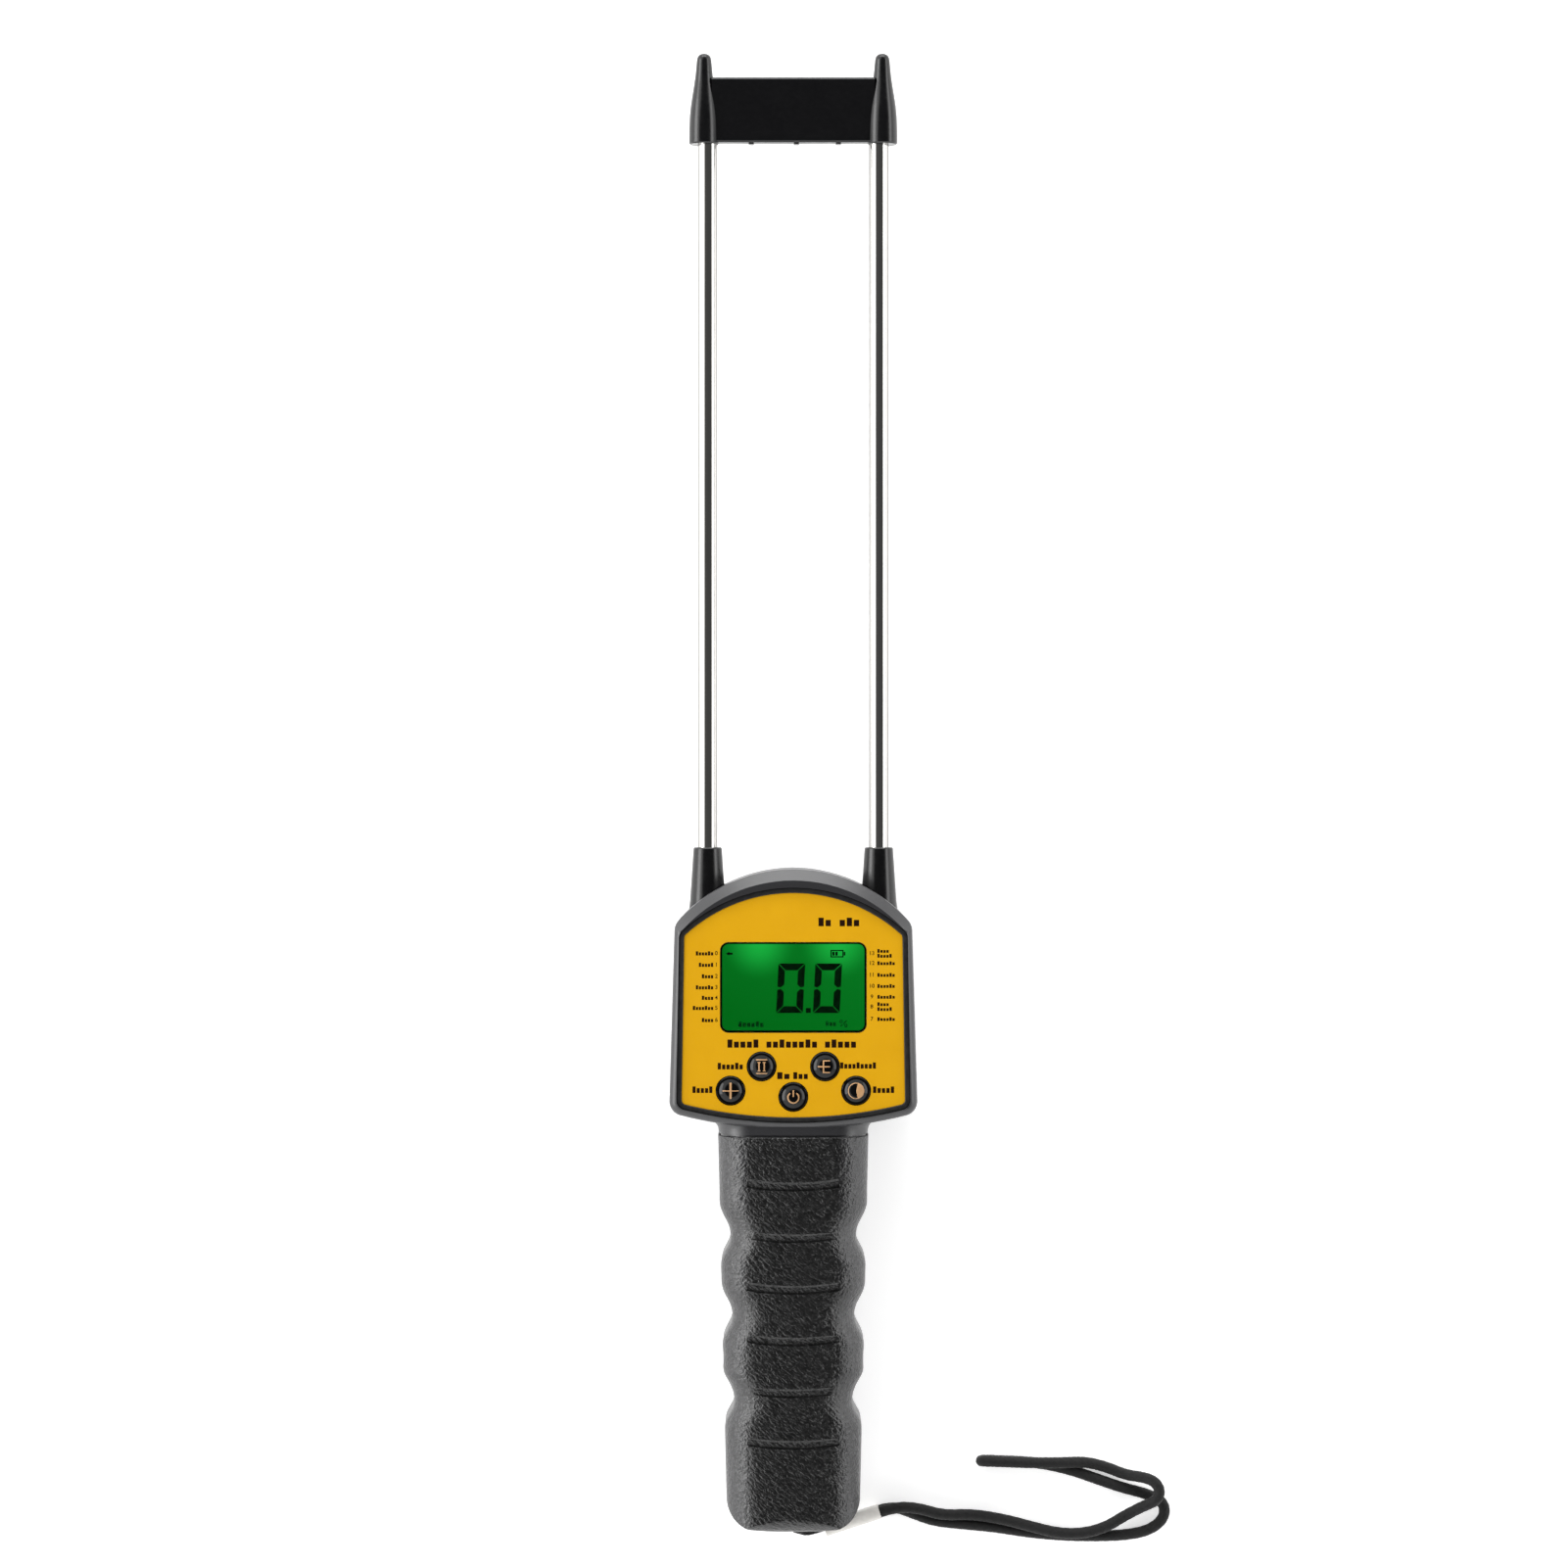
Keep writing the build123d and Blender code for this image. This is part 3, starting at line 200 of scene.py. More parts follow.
class Finish:
    """A Principled material built up from procedural nodes, in the frame's own metres."""

    def __init__(self, name, **values):
        self.material = bpy.data.materials.new(name)
        self.material.use_nodes = True
        self.tree = self.material.node_tree
        self.shader = self.tree.nodes["Principled BSDF"]
        self.place = self.add("ShaderNodeTexCoord").outputs["Object"]
        for socket, value in values.items():
            self.set(socket.replace("_", " "), value)

    def add(self, kind, inputs=None, **settings):
        """A node with its settings and inputs; an input is a value or another node's output."""
        made = self.tree.nodes.new(kind)
        for name, value in settings.items():
            setattr(made, name, value)
        for name, value in (inputs or {}).items():
            self.plug(made.inputs[name], value)
        return made

    def plug(self, socket, value):
        if isinstance(value, bpy.types.NodeSocket):
            self.tree.links.new(value, socket)
        else:
            socket.default_value = value

    def set(self, socket, value):
        """Gives one of the shader's own sockets a value, or links a node's output to it."""
        self.plug(self.shader.inputs[socket], value)

    def stretched(self, stretch, turn=0.0):
        """The place, turned in the XY plane by degrees and scaled, so that a texture runs in streaks."""
        place = self.place
        if turn:
            turned = self.add(
                "ShaderNodeVectorRotate",
                {"Vector": place, "Angle": math.radians(turn)},
                rotation_type="Z_AXIS",
            )
            place = turned.outputs["Vector"]
        scaled = self.add("ShaderNodeVectorMath", {0: place, 1: stretch}, operation="MULTIPLY")
        return scaled.outputs["Vector"]

    def noise(self, size, detail=2.0, stretch=(1, 1, 1), turn=0.0):
        """Cloudy noise, 0 to 1, with features about size mm across."""
        made = self.add(
            "ShaderNodeTexNoise",
            {"Vector": self.stretched(stretch, turn), "Scale": 1 / (size * MM), "Detail": detail},
        )
        return made.outputs["Fac"]

    def cells(self, size, warp=0.0):
        """Pebbles about size mm across: 0 in the grooves between them, rising towards their middles."""
        place = self.place
        if warp:
            wander = self.add("ShaderNodeTexNoise", {"Vector": place, "Scale": 1 / (size * MM)})
            push = self.add(
                "ShaderNodeVectorMath",
                {0: wander.outputs["Color"], 1: (warp * MM,) * 3, 2: place},
                operation="MULTIPLY_ADD",
            )
            place = push.outputs["Vector"]
        made = self.add(
            "ShaderNodeTexVoronoi",
            {"Vector": place, "Scale": 1 / (size * MM)},
            feature="DISTANCE_TO_EDGE",
        )
        return made.outputs["Distance"]

    def between(self, value, low, high, to_low=0.0, to_high=1.0, kind="SMOOTHSTEP"):
        """value carried from the range low..high to another range, and held at its ends."""
        made = self.add(
            "ShaderNodeMapRange",
            {"Value": value, "From Min": low, "From Max": high, "To Min": to_low, "To Max": to_high},
            interpolation_type=kind,
        )
        return made.outputs["Result"]

    def sum(self, a, b, kind="ADD"):
        """a and b added, or put together by another kind of sum."""
        return self.add("ShaderNodeMath", {0: a, 1: b}, operation=kind).outputs["Value"]

    def axis(self, name):
        return self.add("ShaderNodeSeparateXYZ", {"Vector": self.place}).outputs[name]

    def tint(self, amount, dark, light):
        """The base colour, from dark to light as amount goes from 0 to 1."""
        self.set("Base Color", self.mixed(amount, dark, light))

    def mixed(self, amount, dark, light):
        """A colour from dark to light; each is three numbers or a node's output."""
        mix = self.add("ShaderNodeMix", {"Factor": amount}, data_type="RGBA")
        self.plug(mix.inputs[6], dark if isinstance(dark, bpy.types.NodeSocket) else (*dark, 1.0))
        self.plug(mix.inputs[7], light if isinstance(light, bpy.types.NodeSocket) else (*light, 1.0))
        return mix.outputs[2]

    def relief(self, height, depth):
        """Raises the surface by depth mm where height is 1."""
        bump = self.add("ShaderNodeBump", {"Height": height, "Strength": 1.0, "Distance": depth * MM})
        self.set("Normal", bump.outputs["Normal"])


def shell_finish():
    """Black housing plastic: slanting leather grain on the grip, fine satin above the neck line; the grip's
    flanks are painted lighter than its front, as if lit from the sides, and the grain's hollows are painted
    darker as shade.
    """
    made = Finish("shell_plastic", Specular_IOR_Level=0.7)
    out = made.sum(made.axis("X"), 0.0, "ABSOLUTE")
    on_flank = made.between(out, FLANK_EDGE[0] * MM, FLANK_EDGE[1] * MM)
    front_grain = made.noise(stretch=GRAIN_STRETCH, **FRONT_GRAIN)
    flank_grain = made.noise(stretch=GRAIN_STRETCH, **FLANK_GRAIN)
    grain = made.add("ShaderNodeMix", {"Factor": on_flank, 2: front_grain, 3: flank_grain}).outputs[0]
    pebbles = made.between(made.cells(**PEBBLES), 0.0, 0.30)
    skin = made.sum(
        made.sum(grain, GRAIN_RISE, "MULTIPLY"), made.sum(pebbles, PEBBLE_RISE, "MULTIPLY")
    )
    fine = made.sum(made.noise(0.3, detail=1), SATIN_RISE, "MULTIPLY")
    on_grip = made.between(
        made.axis("Y"), (GRAIN_START_Y + GRAIN_FADE) * MM, (GRAIN_START_Y - GRAIN_FADE) * MM
    )
    rise = made.add("ShaderNodeMix", {"Factor": on_grip, 2: fine, 3: skin}).outputs[0]
    made.relief(rise, SKIN_RELIEF)
    # Painted shade: the grain's hollows are coloured darker than its tops, on the front and the flanks
    # alike.
    high = made.between(grain, 0.36, 0.64)
    front_black_painted_hollow_shade = made.mixed(high, (0.001, 0.001, 0.001), (0.006, 0.006, 0.006))
    # Painted light: the flanks are coloured lighter than the front, as if lit from the sides of the tent.
    flank_painted_light_and_shade = made.mixed(high, (0.001, 0.001, 0.0012), (0.020, 0.0195, 0.0215))
    made.tint(on_grip, (0.020, 0.020, 0.022), made.mixed(on_flank, front_black_painted_hollow_shade, flank_painted_light_and_shade))
    made.set("Roughness", made.between(on_grip, 0, 1, 0.34, 0.28, "LINEAR"))
    return made.material


def panel_finish():
    """The printed yellow plate: a satin film over a very slightly uneven colour."""
    made = Finish("panel_yellow", Specular_IOR_Level=0.35)
    made.tint(made.noise(9, detail=3), (0.585, 0.297, 0.0018), (0.645, 0.340, 0.0034))
    made.set("Roughness", made.between(made.noise(0.5), 0.3, 0.7, 0.30, 0.42))
    made.relief(made.noise(0.28, detail=1), 0.012)
    return made.material


def plastic_finish(name, dark, light, rough=0.3, grain=0.35, depth=0.004, cloud=6.0, **values):
    """A moulded plastic or rubber: colour that drifts a little, and a fine moulding grain."""
    made = Finish(name, **values)
    made.tint(made.noise(cloud, detail=3), dark, light)
    made.set("Roughness", made.between(made.noise(cloud / 4), 0.3, 0.7, rough * 0.85, rough * 1.15))
    made.relief(made.noise(grain, detail=1), depth)
    return made.material


def metal_finish(name, dark, light, rough=0.25, streak=(1, 1, 1), size=0.3, depth=0.002):
    """A metal with drawn or rolled streaks along the axis that streak squeezes."""
    made = Finish(name, Metallic=1.0)
    lines = made.noise(size, detail=3, stretch=streak)
    made.tint(lines, dark, light)
    made.set("Roughness", made.between(lines, 0.25, 0.75, rough * 0.7, rough * 1.3))
    made.relief(lines, depth)
    return made.material


def lens_finish():
    """The clear window, with the faintest unevenness."""
    made = Finish("lens_clear", Base_Color=(1, 1, 1, 1), Transmission_Weight=1.0, IOR=1.2)
    made.set("Roughness", made.between(made.noise(3), 0.3, 0.7, 0.0, 0.03))
    return made.material


def display_finish(box):
    """The lit liquid crystal: deep green, brighter by its two lamps along the upper edge."""
    low, high = box
    made = Finish("display_green", Base_Color=(0, 0, 0, 1), Roughness=0.35, Specular_IOR_Level=0.0)
    glow = None
    for lamp_x in LAMPS_X:
        lamp = (lamp_x * MM, high.y - LAMP_INSET * MM, high.z)
        away = made.add("ShaderNodeVectorMath", {0: made.place, 1: lamp}, operation="DISTANCE")
        near = made.between(away.outputs["Value"], 0.0, LAMP_REACH * MM, 1.0, 0.0)
        glow = near if glow is None else made.sum(glow, near)
    side = made.between(made.axis("X"), low.x, high.x, -0.03, 0.05, "LINEAR")
    upper = made.between(made.axis("Y"), low.y, high.y, 0.0, 0.10, "LINEAR")
    light = made.sum(made.sum(glow, 0.8, "MULTIPLY"), made.sum(side, upper))
    made.set("Emission Color", made.mixed(light, (0.0, 0.136, 0.008), (0.010, 0.47, 0.055)))
    made.set("Emission Strength", 1.0)
    return made.material


def glow_finish(name, colour, strength):
    """A lamp or a light guide, a little uneven."""
    made = Finish(name, Roughness=0.4, Emission_Strength=strength)
    made.tint(made.noise(4), tuple(0.8 * part for part in colour), colour)
    made.set("Emission Color", made.mixed(made.noise(2), tuple(0.7 * part for part in colour), colour))
    return made.material


def braid_finish(name, dark, light, size):
    """A tightly braided cord's yarn: matte, with a fibre sheen."""
    made = Finish(name, Sheen_Weight=0.12, Sheen_Roughness=0.4, Roughness=0.7, Specular_IOR_Level=0.3)
    made.tint(made.noise(size, detail=4), dark, light)
    made.relief(made.noise(size / 2, detail=2), 0.05)
    return made.material


def cell_finish():
    """A battery's printed jacket: a dark body with a copper-coloured end band."""
    made = Finish("cell_jacket", Roughness=0.3, Metallic=0.4)
    band = made.noise(14, detail=0, stretch=(0.02, 1, 0.02))
    made.tint(made.between(band, 0.52, 0.54), (0.015, 0.015, 0.018), (0.55, 0.22, 0.07))
    made.relief(made.noise(0.4), 0.006)
    return made.material


# ---------------------------------------------------------------- printed marks


class Marks:
    """Printed or liquid-crystal marks on one surface, joined into one thin mesh. Sizes are in mm."""

    def __init__(self, height):
        self.height = height
        self.points = []
        self.faces = []

    def add(self, points, faces):
        start = len(self.points)
        self.points += [(x * MM, y * MM, self.height(x, y) * MM) for x, y in points]
        self.faces += [tuple(start + i for i in face) for face in faces]

    def polygon(self, outline):
        self.add(outline, [range(len(outline))])

    def bar(self, x, y, wide, high):
        """A filled rectangle with its middle at x, y."""
        left, right, low, top = x - wide / 2, x + wide / 2, y - high / 2, y + high / 2
        self.polygon([(left, low), (right, low), (right, top), (left, top)])

    def frame(self, x, y, wide, high, line):
        """A rectangle's outline."""
        for side in (-1, 1):
            self.bar(x, y + side * (high - line) / 2, wide, line)
            self.bar(x + side * (wide - line) / 2, y, line, high - 2 * line)

    def strip(self, start, end, wide, steps=12):
        """A line between two points, divided so that it can follow a dome."""
        (x0, y0), (x1, y1) = start, end
        long = math.hypot(x1 - x0, y1 - y0)
        across = (-(y1 - y0) / long * wide / 2, (x1 - x0) / long * wide / 2)
        points = []
        for i in range(steps + 1):
            x = x0 + (x1 - x0) * i / steps
            y = y0 + (y1 - y0) * i / steps
            points += [(x + across[0], y + across[1]), (x - across[0], y - across[1])]
        self.add(points, [(2 * i, 2 * i + 1, 2 * i + 3, 2 * i + 2) for i in range(steps)])

    def ring(self, centre, inner, outer, start, end, steps=36, rows=1):
        """Part of a ring, from the angle start to end in degrees."""
        points = []
        for j in range(rows + 1):
            radius = inner + (outer - inner) * j / rows
            for i in range(steps + 1):
                turn = math.radians(start + (end - start) * i / steps)
                points.append((centre[0] + radius * math.cos(turn), centre[1] + radius * math.sin(turn)))
        wide = steps + 1
        faces = []
        for j in range(rows):
            for i in range(steps):
                a = j * wide + i
                faces.append((a, a + wide, a + wide + 1, a + 1))
        self.add(points, faces)

    def greeked(self, left, right, y, high, counts):
        """Words as rows of plain blocks, with the given count of blocks in each word."""
        slots = sum(counts) + len(counts) - 1
        pitch = (right - left) / slots
        at = 0
        for count in counts:
            for i in range(count):
                tall = high * (1.0 if (at * 7 + i * 3) % 4 == 0 else 0.74)
                middle = left + (at + i + 0.5) * pitch
                self.bar(middle, y - (high - tall) / 2, pitch * 0.74, tall)
            at += count + 1

    def number(self, value, x, y, size):
        """A plain numeral, centred on x, y."""
        text = bpy.data.curves.new("numeral", "FONT")
        text.body = str(value)
        text.size = size
        text.align_x = "CENTER"
        text.align_y = "CENTER"
        text.offset = size * 0.012
        writer = bpy.data.objects.new("numeral", text)
        shape = bpy.data.meshes.new_from_object(writer)
        faces = [face.vertices for face in shape.polygons if face.area > SLIVER]
        self.add([(x + v.co.x, y + v.co.y) for v in shape.vertices], faces)
        bpy.data.meshes.remove(shape)
        bpy.data.objects.remove(writer)
        bpy.data.curves.remove(text)

    def piece(self, name, material, body):
        """The finished mesh, riding its body."""
        return mesh_piece(name, self.points, self.faces, material, body)


def mesh_piece(name, points, faces, material, body, smooth=False):
    """A new piece from points in metres, riding its body."""
    shape = bpy.data.meshes.new(name)
    shape.from_pydata([tuple(p) for p in points], [], [tuple(f) for f in faces])
    shape.materials.append(material)
    if smooth:
        shape.shade_smooth()
    else:
        shape.shade_flat()
    made = bpy.data.objects.new(name, shape)
    bpy.context.scene.collection.objects.link(made)
    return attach(made, body)


def dome_height(key):
    """The height of a key's domed top at x, y, plus the ink's own lift."""
    middle_x, middle_y = KEY_PLACES[key]

    def height(x, y):
        away = math.hypot(x - middle_x, y - middle_y)
        return KEY_TOP_Z + ICON_LIFT - (KEY_DOME_CURVE - math.sqrt(KEY_DOME_CURVE**2 - away**2))

    return height


# Each icon is drawn in mm about x, y, the middle of its key.


def power_icon(marks, x, y):
    """A ring, open at the top, with a short stroke through the gap."""
    marks.ring((x, y - 0.15), 1.45, 1.45 + ICON_LINE, 125, 415)
    marks.strip((x, y + 0.1), (x, y + 2.1), ICON_LINE)


def adjust_icon(marks, x, y):
    """Two upright strokes with short bars at their ends, between two long bars."""
    for side in (-1, 1):
        marks.strip((x - 1.7, y + side * 2.1), (x + 1.7, y + side * 2.1), 0.34)
        shaft = x + side * 0.8
        marks.strip((shaft, y - 1.3), (shaft, y + 1.3), 0.4)
        for end in (-1, 1):
            marks.strip((shaft - 0.45, y + end * 1.3), (shaft + 0.45, y + end * 1.3), 0.3, steps=4)


def varieties_icon(marks, x, y):
    """A stem that branches three ways."""
    marks.strip((x - 2.2, y), (x - 0.5, y), ICON_LINE)
    marks.strip((x - 0.5, y - 1.95), (x - 0.5, y + 1.95), ICON_LINE)
    for step in (-1.8, 0.0, 1.8):
        marks.strip((x - 0.5, y + step), (x + 1.5, y + step), 0.38)


def limit_icon(marks, x, y):
    """A cross, heavier upright than across."""
    marks.strip((x, y - 2.5), (x, y + 2.5), 0.62)
    marks.strip((x - 2.5, y), (x + 2.5, y), 0.30)


def voice_icon(marks, x, y):
    """A circle with its right side filled."""
    marks.ring((x, y), 0.02, 2.5, -78, 78, rows=8)
    marks.ring((x, y), 2.25, 2.5, 78, 282)


def key_icons():
    """Each key's pictogram, printed on its dome and riding with it."""
    ink = plastic_finish("icon_ink", (0.42, 0.22, 0.09), (0.56, 0.34, 0.17), rough=0.35, cloud=1.5)
    drawn = {
        "power": power_icon,
        "adjust": adjust_icon,
        "varieties": varieties_icon,
        "limit": limit_icon,
        "voice": voice_icon,
    }
    for key, draw in drawn.items():
        marks = Marks(dome_height(key))
        draw(marks, *KEY_PLACES[key])
        marks.piece(f"icon_{key}", ink, f"{key}_key")


# ---------------------------------------------------------------- the face


def panel_print():
    """The plate's dark print: greeked words, and a plain number beside each row."""
    ink = plastic_finish(
        "panel_ink", (0.010, 0.003, 0.001), (0.018, 0.006, 0.002), 0.4, Specular_IOR_Level=0.1
    )
    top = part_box("face_panel")[1].z / MM
    marks = Marks(lambda x, y: top + PRINT_LIFT)
    for words in PRINTED_WORDS:
        marks.greeked(*words)
    for number, (y, blocks) in enumerate(LEFT_ROWS):
        marks.number(number, y=y, **LEFT_NUMBER)
        start = LEFT_WORD_END - blocks * ROW_BLOCK
        marks.greeked(start, LEFT_WORD_END, y, LEFT_WORD_HIGH, (blocks,))
    for step, (y, lines) in enumerate(RIGHT_ROWS):
        marks.number(RIGHT_FIRST - step, y=y, **RIGHT_NUMBER)
        for line, blocks in enumerate(lines):
            drop = (line - (len(lines) - 1) / 2) * ROW_LINE_STEP
            end = RIGHT_WORD_START + blocks * ROW_BLOCK
            marks.greeked(RIGHT_WORD_START, end, y - drop, RIGHT_WORD_HIGH, (blocks,))
    marks.piece("panel_print", ink, "meter")


def digit_zero(marks, left, low):
    """A seven-segment nought: six mitred segments with thin gaps, leaning a little to the right."""
    wide, high, thick, gap, lean = 8.2, 15.2, 2.1, 0.16, 0.05

    def segment(outline, backwards):
        leaned = [(left + x + lean * y, low + y) for x, y in outline]
        marks.polygon(leaned[::-1] if backwards else leaned)

    for is_top in (False, True):
        end, inward = (high, -1) if is_top else (0.0, 1)
        across = [
            (gap, end), (wide - gap, end),
            (wide - thick - gap, end + inward * thick), (thick + gap, end + inward * thick),
        ]
        segment(across, is_top)
        for is_right in (False, True):
            outer, inner = (wide, wide - thick) if is_right else (0.0, thick)
            upright = [
                (outer, end + inward * gap), (inner, end + inward * (thick + gap)),
                (inner, high / 2 - inward * 0.55 * thick), ((outer + inner) / 2, high / 2 - inward * 0.2),
                (outer, high / 2 - inward * 0.5),
            ]
            segment(upright, is_right != is_top)


def crystal_marks():
    """The display's reading, its little marks at the top, and the faint unlit ones along the bottom."""
    dark = plastic_finish(
        "crystal_dark", (0.0, 0.008, 0.001), (0.0, 0.012, 0.002), 0.4, Specular_IOR_Level=0.0
    )
    faint = plastic_finish(
        "crystal_faint", (0.0, 0.050, 0.005), (0.0, 0.070, 0.008), 0.4, Specular_IOR_Level=0.0
    )
    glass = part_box("lcd_glass")[1].z / MM
    marks = Marks(lambda x, y: glass + CRYSTAL_LIFT)
    for left in NOUGHT_LEFT:
        digit_zero(marks, left, NOUGHT_LOW)
    marks.bar(*POINT_PLACE, POINT_SIDE, POINT_SIDE)
    top_line(marks, TOP_LINE_Y)
    marks.piece("lcd_reading", dark, "meter")
    rest = Marks(lambda x, y: glass + CRYSTAL_LIFT)
    for words in FAINT_WORDS:
        rest.greeked(*words)
    per_cent(rest)
    rest.piece("lcd_faint_marks", faint, "meter")


def top_line(marks, y):
    """The pointer at the left of the display's top line, and the battery at its right."""
    marks.polygon([(-20.7, y), (-19.6, y - 0.6), (-19.6, y + 0.6)])
    marks.bar(-19.1, y, 1.0, 0.6)
    marks.frame(13.4, y, 4.0, 2.3, 0.35)
    marks.bar(15.7, y, 0.5, 1.1)
    for step in range(2):
        marks.bar(12.3 + step * 0.95, y, 0.7, 1.2)


def per_cent(marks):
    """The sign at the display's lower right corner: two rings and a stroke."""
    for place in ((14.7, -71.2), (16.1, -72.4)):
        marks.ring(place, 0.25, 0.55, 0, 360, steps=12)
    marks.strip((14.4, -72.7), (16.4, -70.9), 0.3, steps=1)


# ---------------------------------------------------------------- cords


def spline_points(name, route):
    """The smooth line that a cord follows: points read from the route's NURBS spline, in metres."""
    curve = bpy.data.curves.new(name, "CURVE")
    curve.dimensions = "3D"
    curve.resolution_u = 24
    spline = curve.splines.new("NURBS")
    spline.points.add(len(route) - 1)
    for point, (x, y, z) in zip(spline.points, route):
        point.co = (x * MM, y * MM, z * MM, 1.0)
    spline.order_u = 3
    spline.use_endpoint_u = True
    carrier = bpy.data.objects.new(name, curve)
    shape = bpy.data.meshes.new_from_object(carrier)
    line = np.array([v.co[:] for v in shape.vertices])
    bpy.data.meshes.remove(shape)
    bpy.data.objects.remove(carrier)
    bpy.data.curves.remove(curve)
    return line


def evenly(line, step):
    """The line again, with points a step apart."""
    along = np.concatenate([[0.0], np.cumsum(np.linalg.norm(np.diff(line, axis=0), axis=1))])
    places = np.linspace(0.0, along[-1], int(along[-1] / step) + 1)
    return places, np.stack([np.interp(places, along, line[:, k]) for k in range(3)], axis=1)


def carried_frames(line):
    """Two directions across the line at each point, carried along it without twisting."""
    ahead = np.gradient(line, axis=0)
    ahead /= np.linalg.norm(ahead, axis=1)[:, None]
    side = np.cross(ahead[0], (0.0, 0.0, 1.0))
    sides = []
    for direction in ahead:
        side = side - direction * np.dot(side, direction)
        side = side / np.linalg.norm(side)
        sides.append(side)
    sides = np.array(sides)
    return sides, np.cross(ahead, sides)


def braid_relief(along, turn, radius):
    """A diamond braid: two sets of yarns winding opposite ways, each going over and under the other."""
    pairs = BRAID_YARNS / 2
    lay = 2 * math.pi / (BRAID_LAY * radius)
    first = np.cos(pairs * (turn + lay * along))
    second = np.cos(pairs * (turn - lay * along))
    over = np.sin(pairs * turn) * np.sin(pairs * lay * along) > 0
    return np.where(over, np.abs(first), np.abs(second)) ** 0.5


def twist_relief(along, turn, radius):
    """Three strands laid round each other."""
    lay = 2 * math.pi / (TWIST_LAY * radius)
    return np.abs(np.cos(TWIST_YARNS / 2 * (turn + lay * along))) ** 0.6


def cord_piece(name, route, diameter, relief, depth, step, material):
    """A cord's surface, built round its spline, with its yarns in relief.

    The relief's depth and the step between rings are parts of the cord's radius.
    """
    radius = diameter * MM / 2
    along, line = evenly(spline_points(name, route), step * radius)
    first, second = carried_frames(line)
    turns = np.linspace(0.0, 2 * math.pi, CORD_SIDES, endpoint=False)
    rise = relief(along[:, None], turns[None, :], radius)
    reach = radius * (1.0 - depth + depth * rise)
    rings = line[:, None, :] + reach[:, :, None] * (
        np.cos(turns)[None, :, None] * first[:, None, :] + np.sin(turns)[None, :, None] * second[:, None, :]
    )
    points = rings.reshape(-1, 3)
    faces = []
    for i in range(len(line) - 1):
        for j in range(CORD_SIDES):
            a = i * CORD_SIDES + j
            b = i * CORD_SIDES + (j + 1) % CORD_SIDES
            faces.append((a, b, b + CORD_SIDES, a + CORD_SIDES))
    last = (len(line) - 1) * CORD_SIDES
    faces.append(tuple(range(CORD_SIDES))[::-1])
    faces.append(tuple(last + j for j in range(CORD_SIDES)))
    return mesh_piece(name, points, faces, material, "meter", smooth=True), line


def add_cords(yarn):
    """The loop through the base end, and the wrist strap that the ferrule holds to it."""
    string, line = cord_piece(
        "lanyard_string", STRING_ROUTE, STRING_DIAMETER, twist_relief, depth=0.16, step=0.16, material=yarn
    )
    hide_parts("strap_string")
    strap, line = cord_piece(
        "braided_strap", STRAP_ROUTE, STRAP_DIAMETER, braid_relief, depth=0.14, step=0.18, material=yarn
    )
    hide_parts("wrist_strap")


# ---------------------------------------------------------------- CAD nodes


def outer_finishes():
    """Materials for the nodes that show, by node name."""
    shell = shell_finish()
    key = plastic_finish(
        "key_black", (0.001, 0.001, 0.0012), (0.002, 0.002, 0.0025), rough=0.10, Specular_IOR_Level=0.3
    )
    probe = plastic_finish("probe_plastic", (0.002, 0.002, 0.0025), (0.004, 0.004, 0.0045), rough=0.2)
    rod = metal_finish(
        "rod_steel", (0.60, 0.59, 0.57), (0.70, 0.69, 0.67), rough=0.08, streak=(1, 0.02, 1), size=0.35
    )
    rod.node_tree.nodes["Principled BSDF"].inputs["Specular Tint"].default_value = ROD_EDGE_TINT
    finishes = {
        "front_housing": shell,
        "rear_housing": shell,
        "battery_cover": shell,
        "face_panel": panel_finish(),
        "panel_gasket": plastic_finish("gasket_rubber", (0.004, 0.004, 0.004), (0.009, 0.009, 0.009), 0.5),
        "display_lens": lens_finish(),
        "lcd_glass": display_finish(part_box("lcd_glass")),
        "tip_bridge": probe,
        "strap_ferrule": plastic_finish(
            "ferrule_pale", (0.58, 0.56, 0.53), (0.80, 0.78, 0.74), rough=0.35, grain=0.5, cloud=2.0
        ),
    }
    for name in KEY_PLACES:
        finishes[f"key_{name}"] = key
    for side in ("left", "right"):
        finishes[f"electrode_rod_{side}"] = rod
        finishes[f"rod_sleeve_{side}"] = probe
        finishes[f"tip_spike_{side}"] = probe
    return finishes


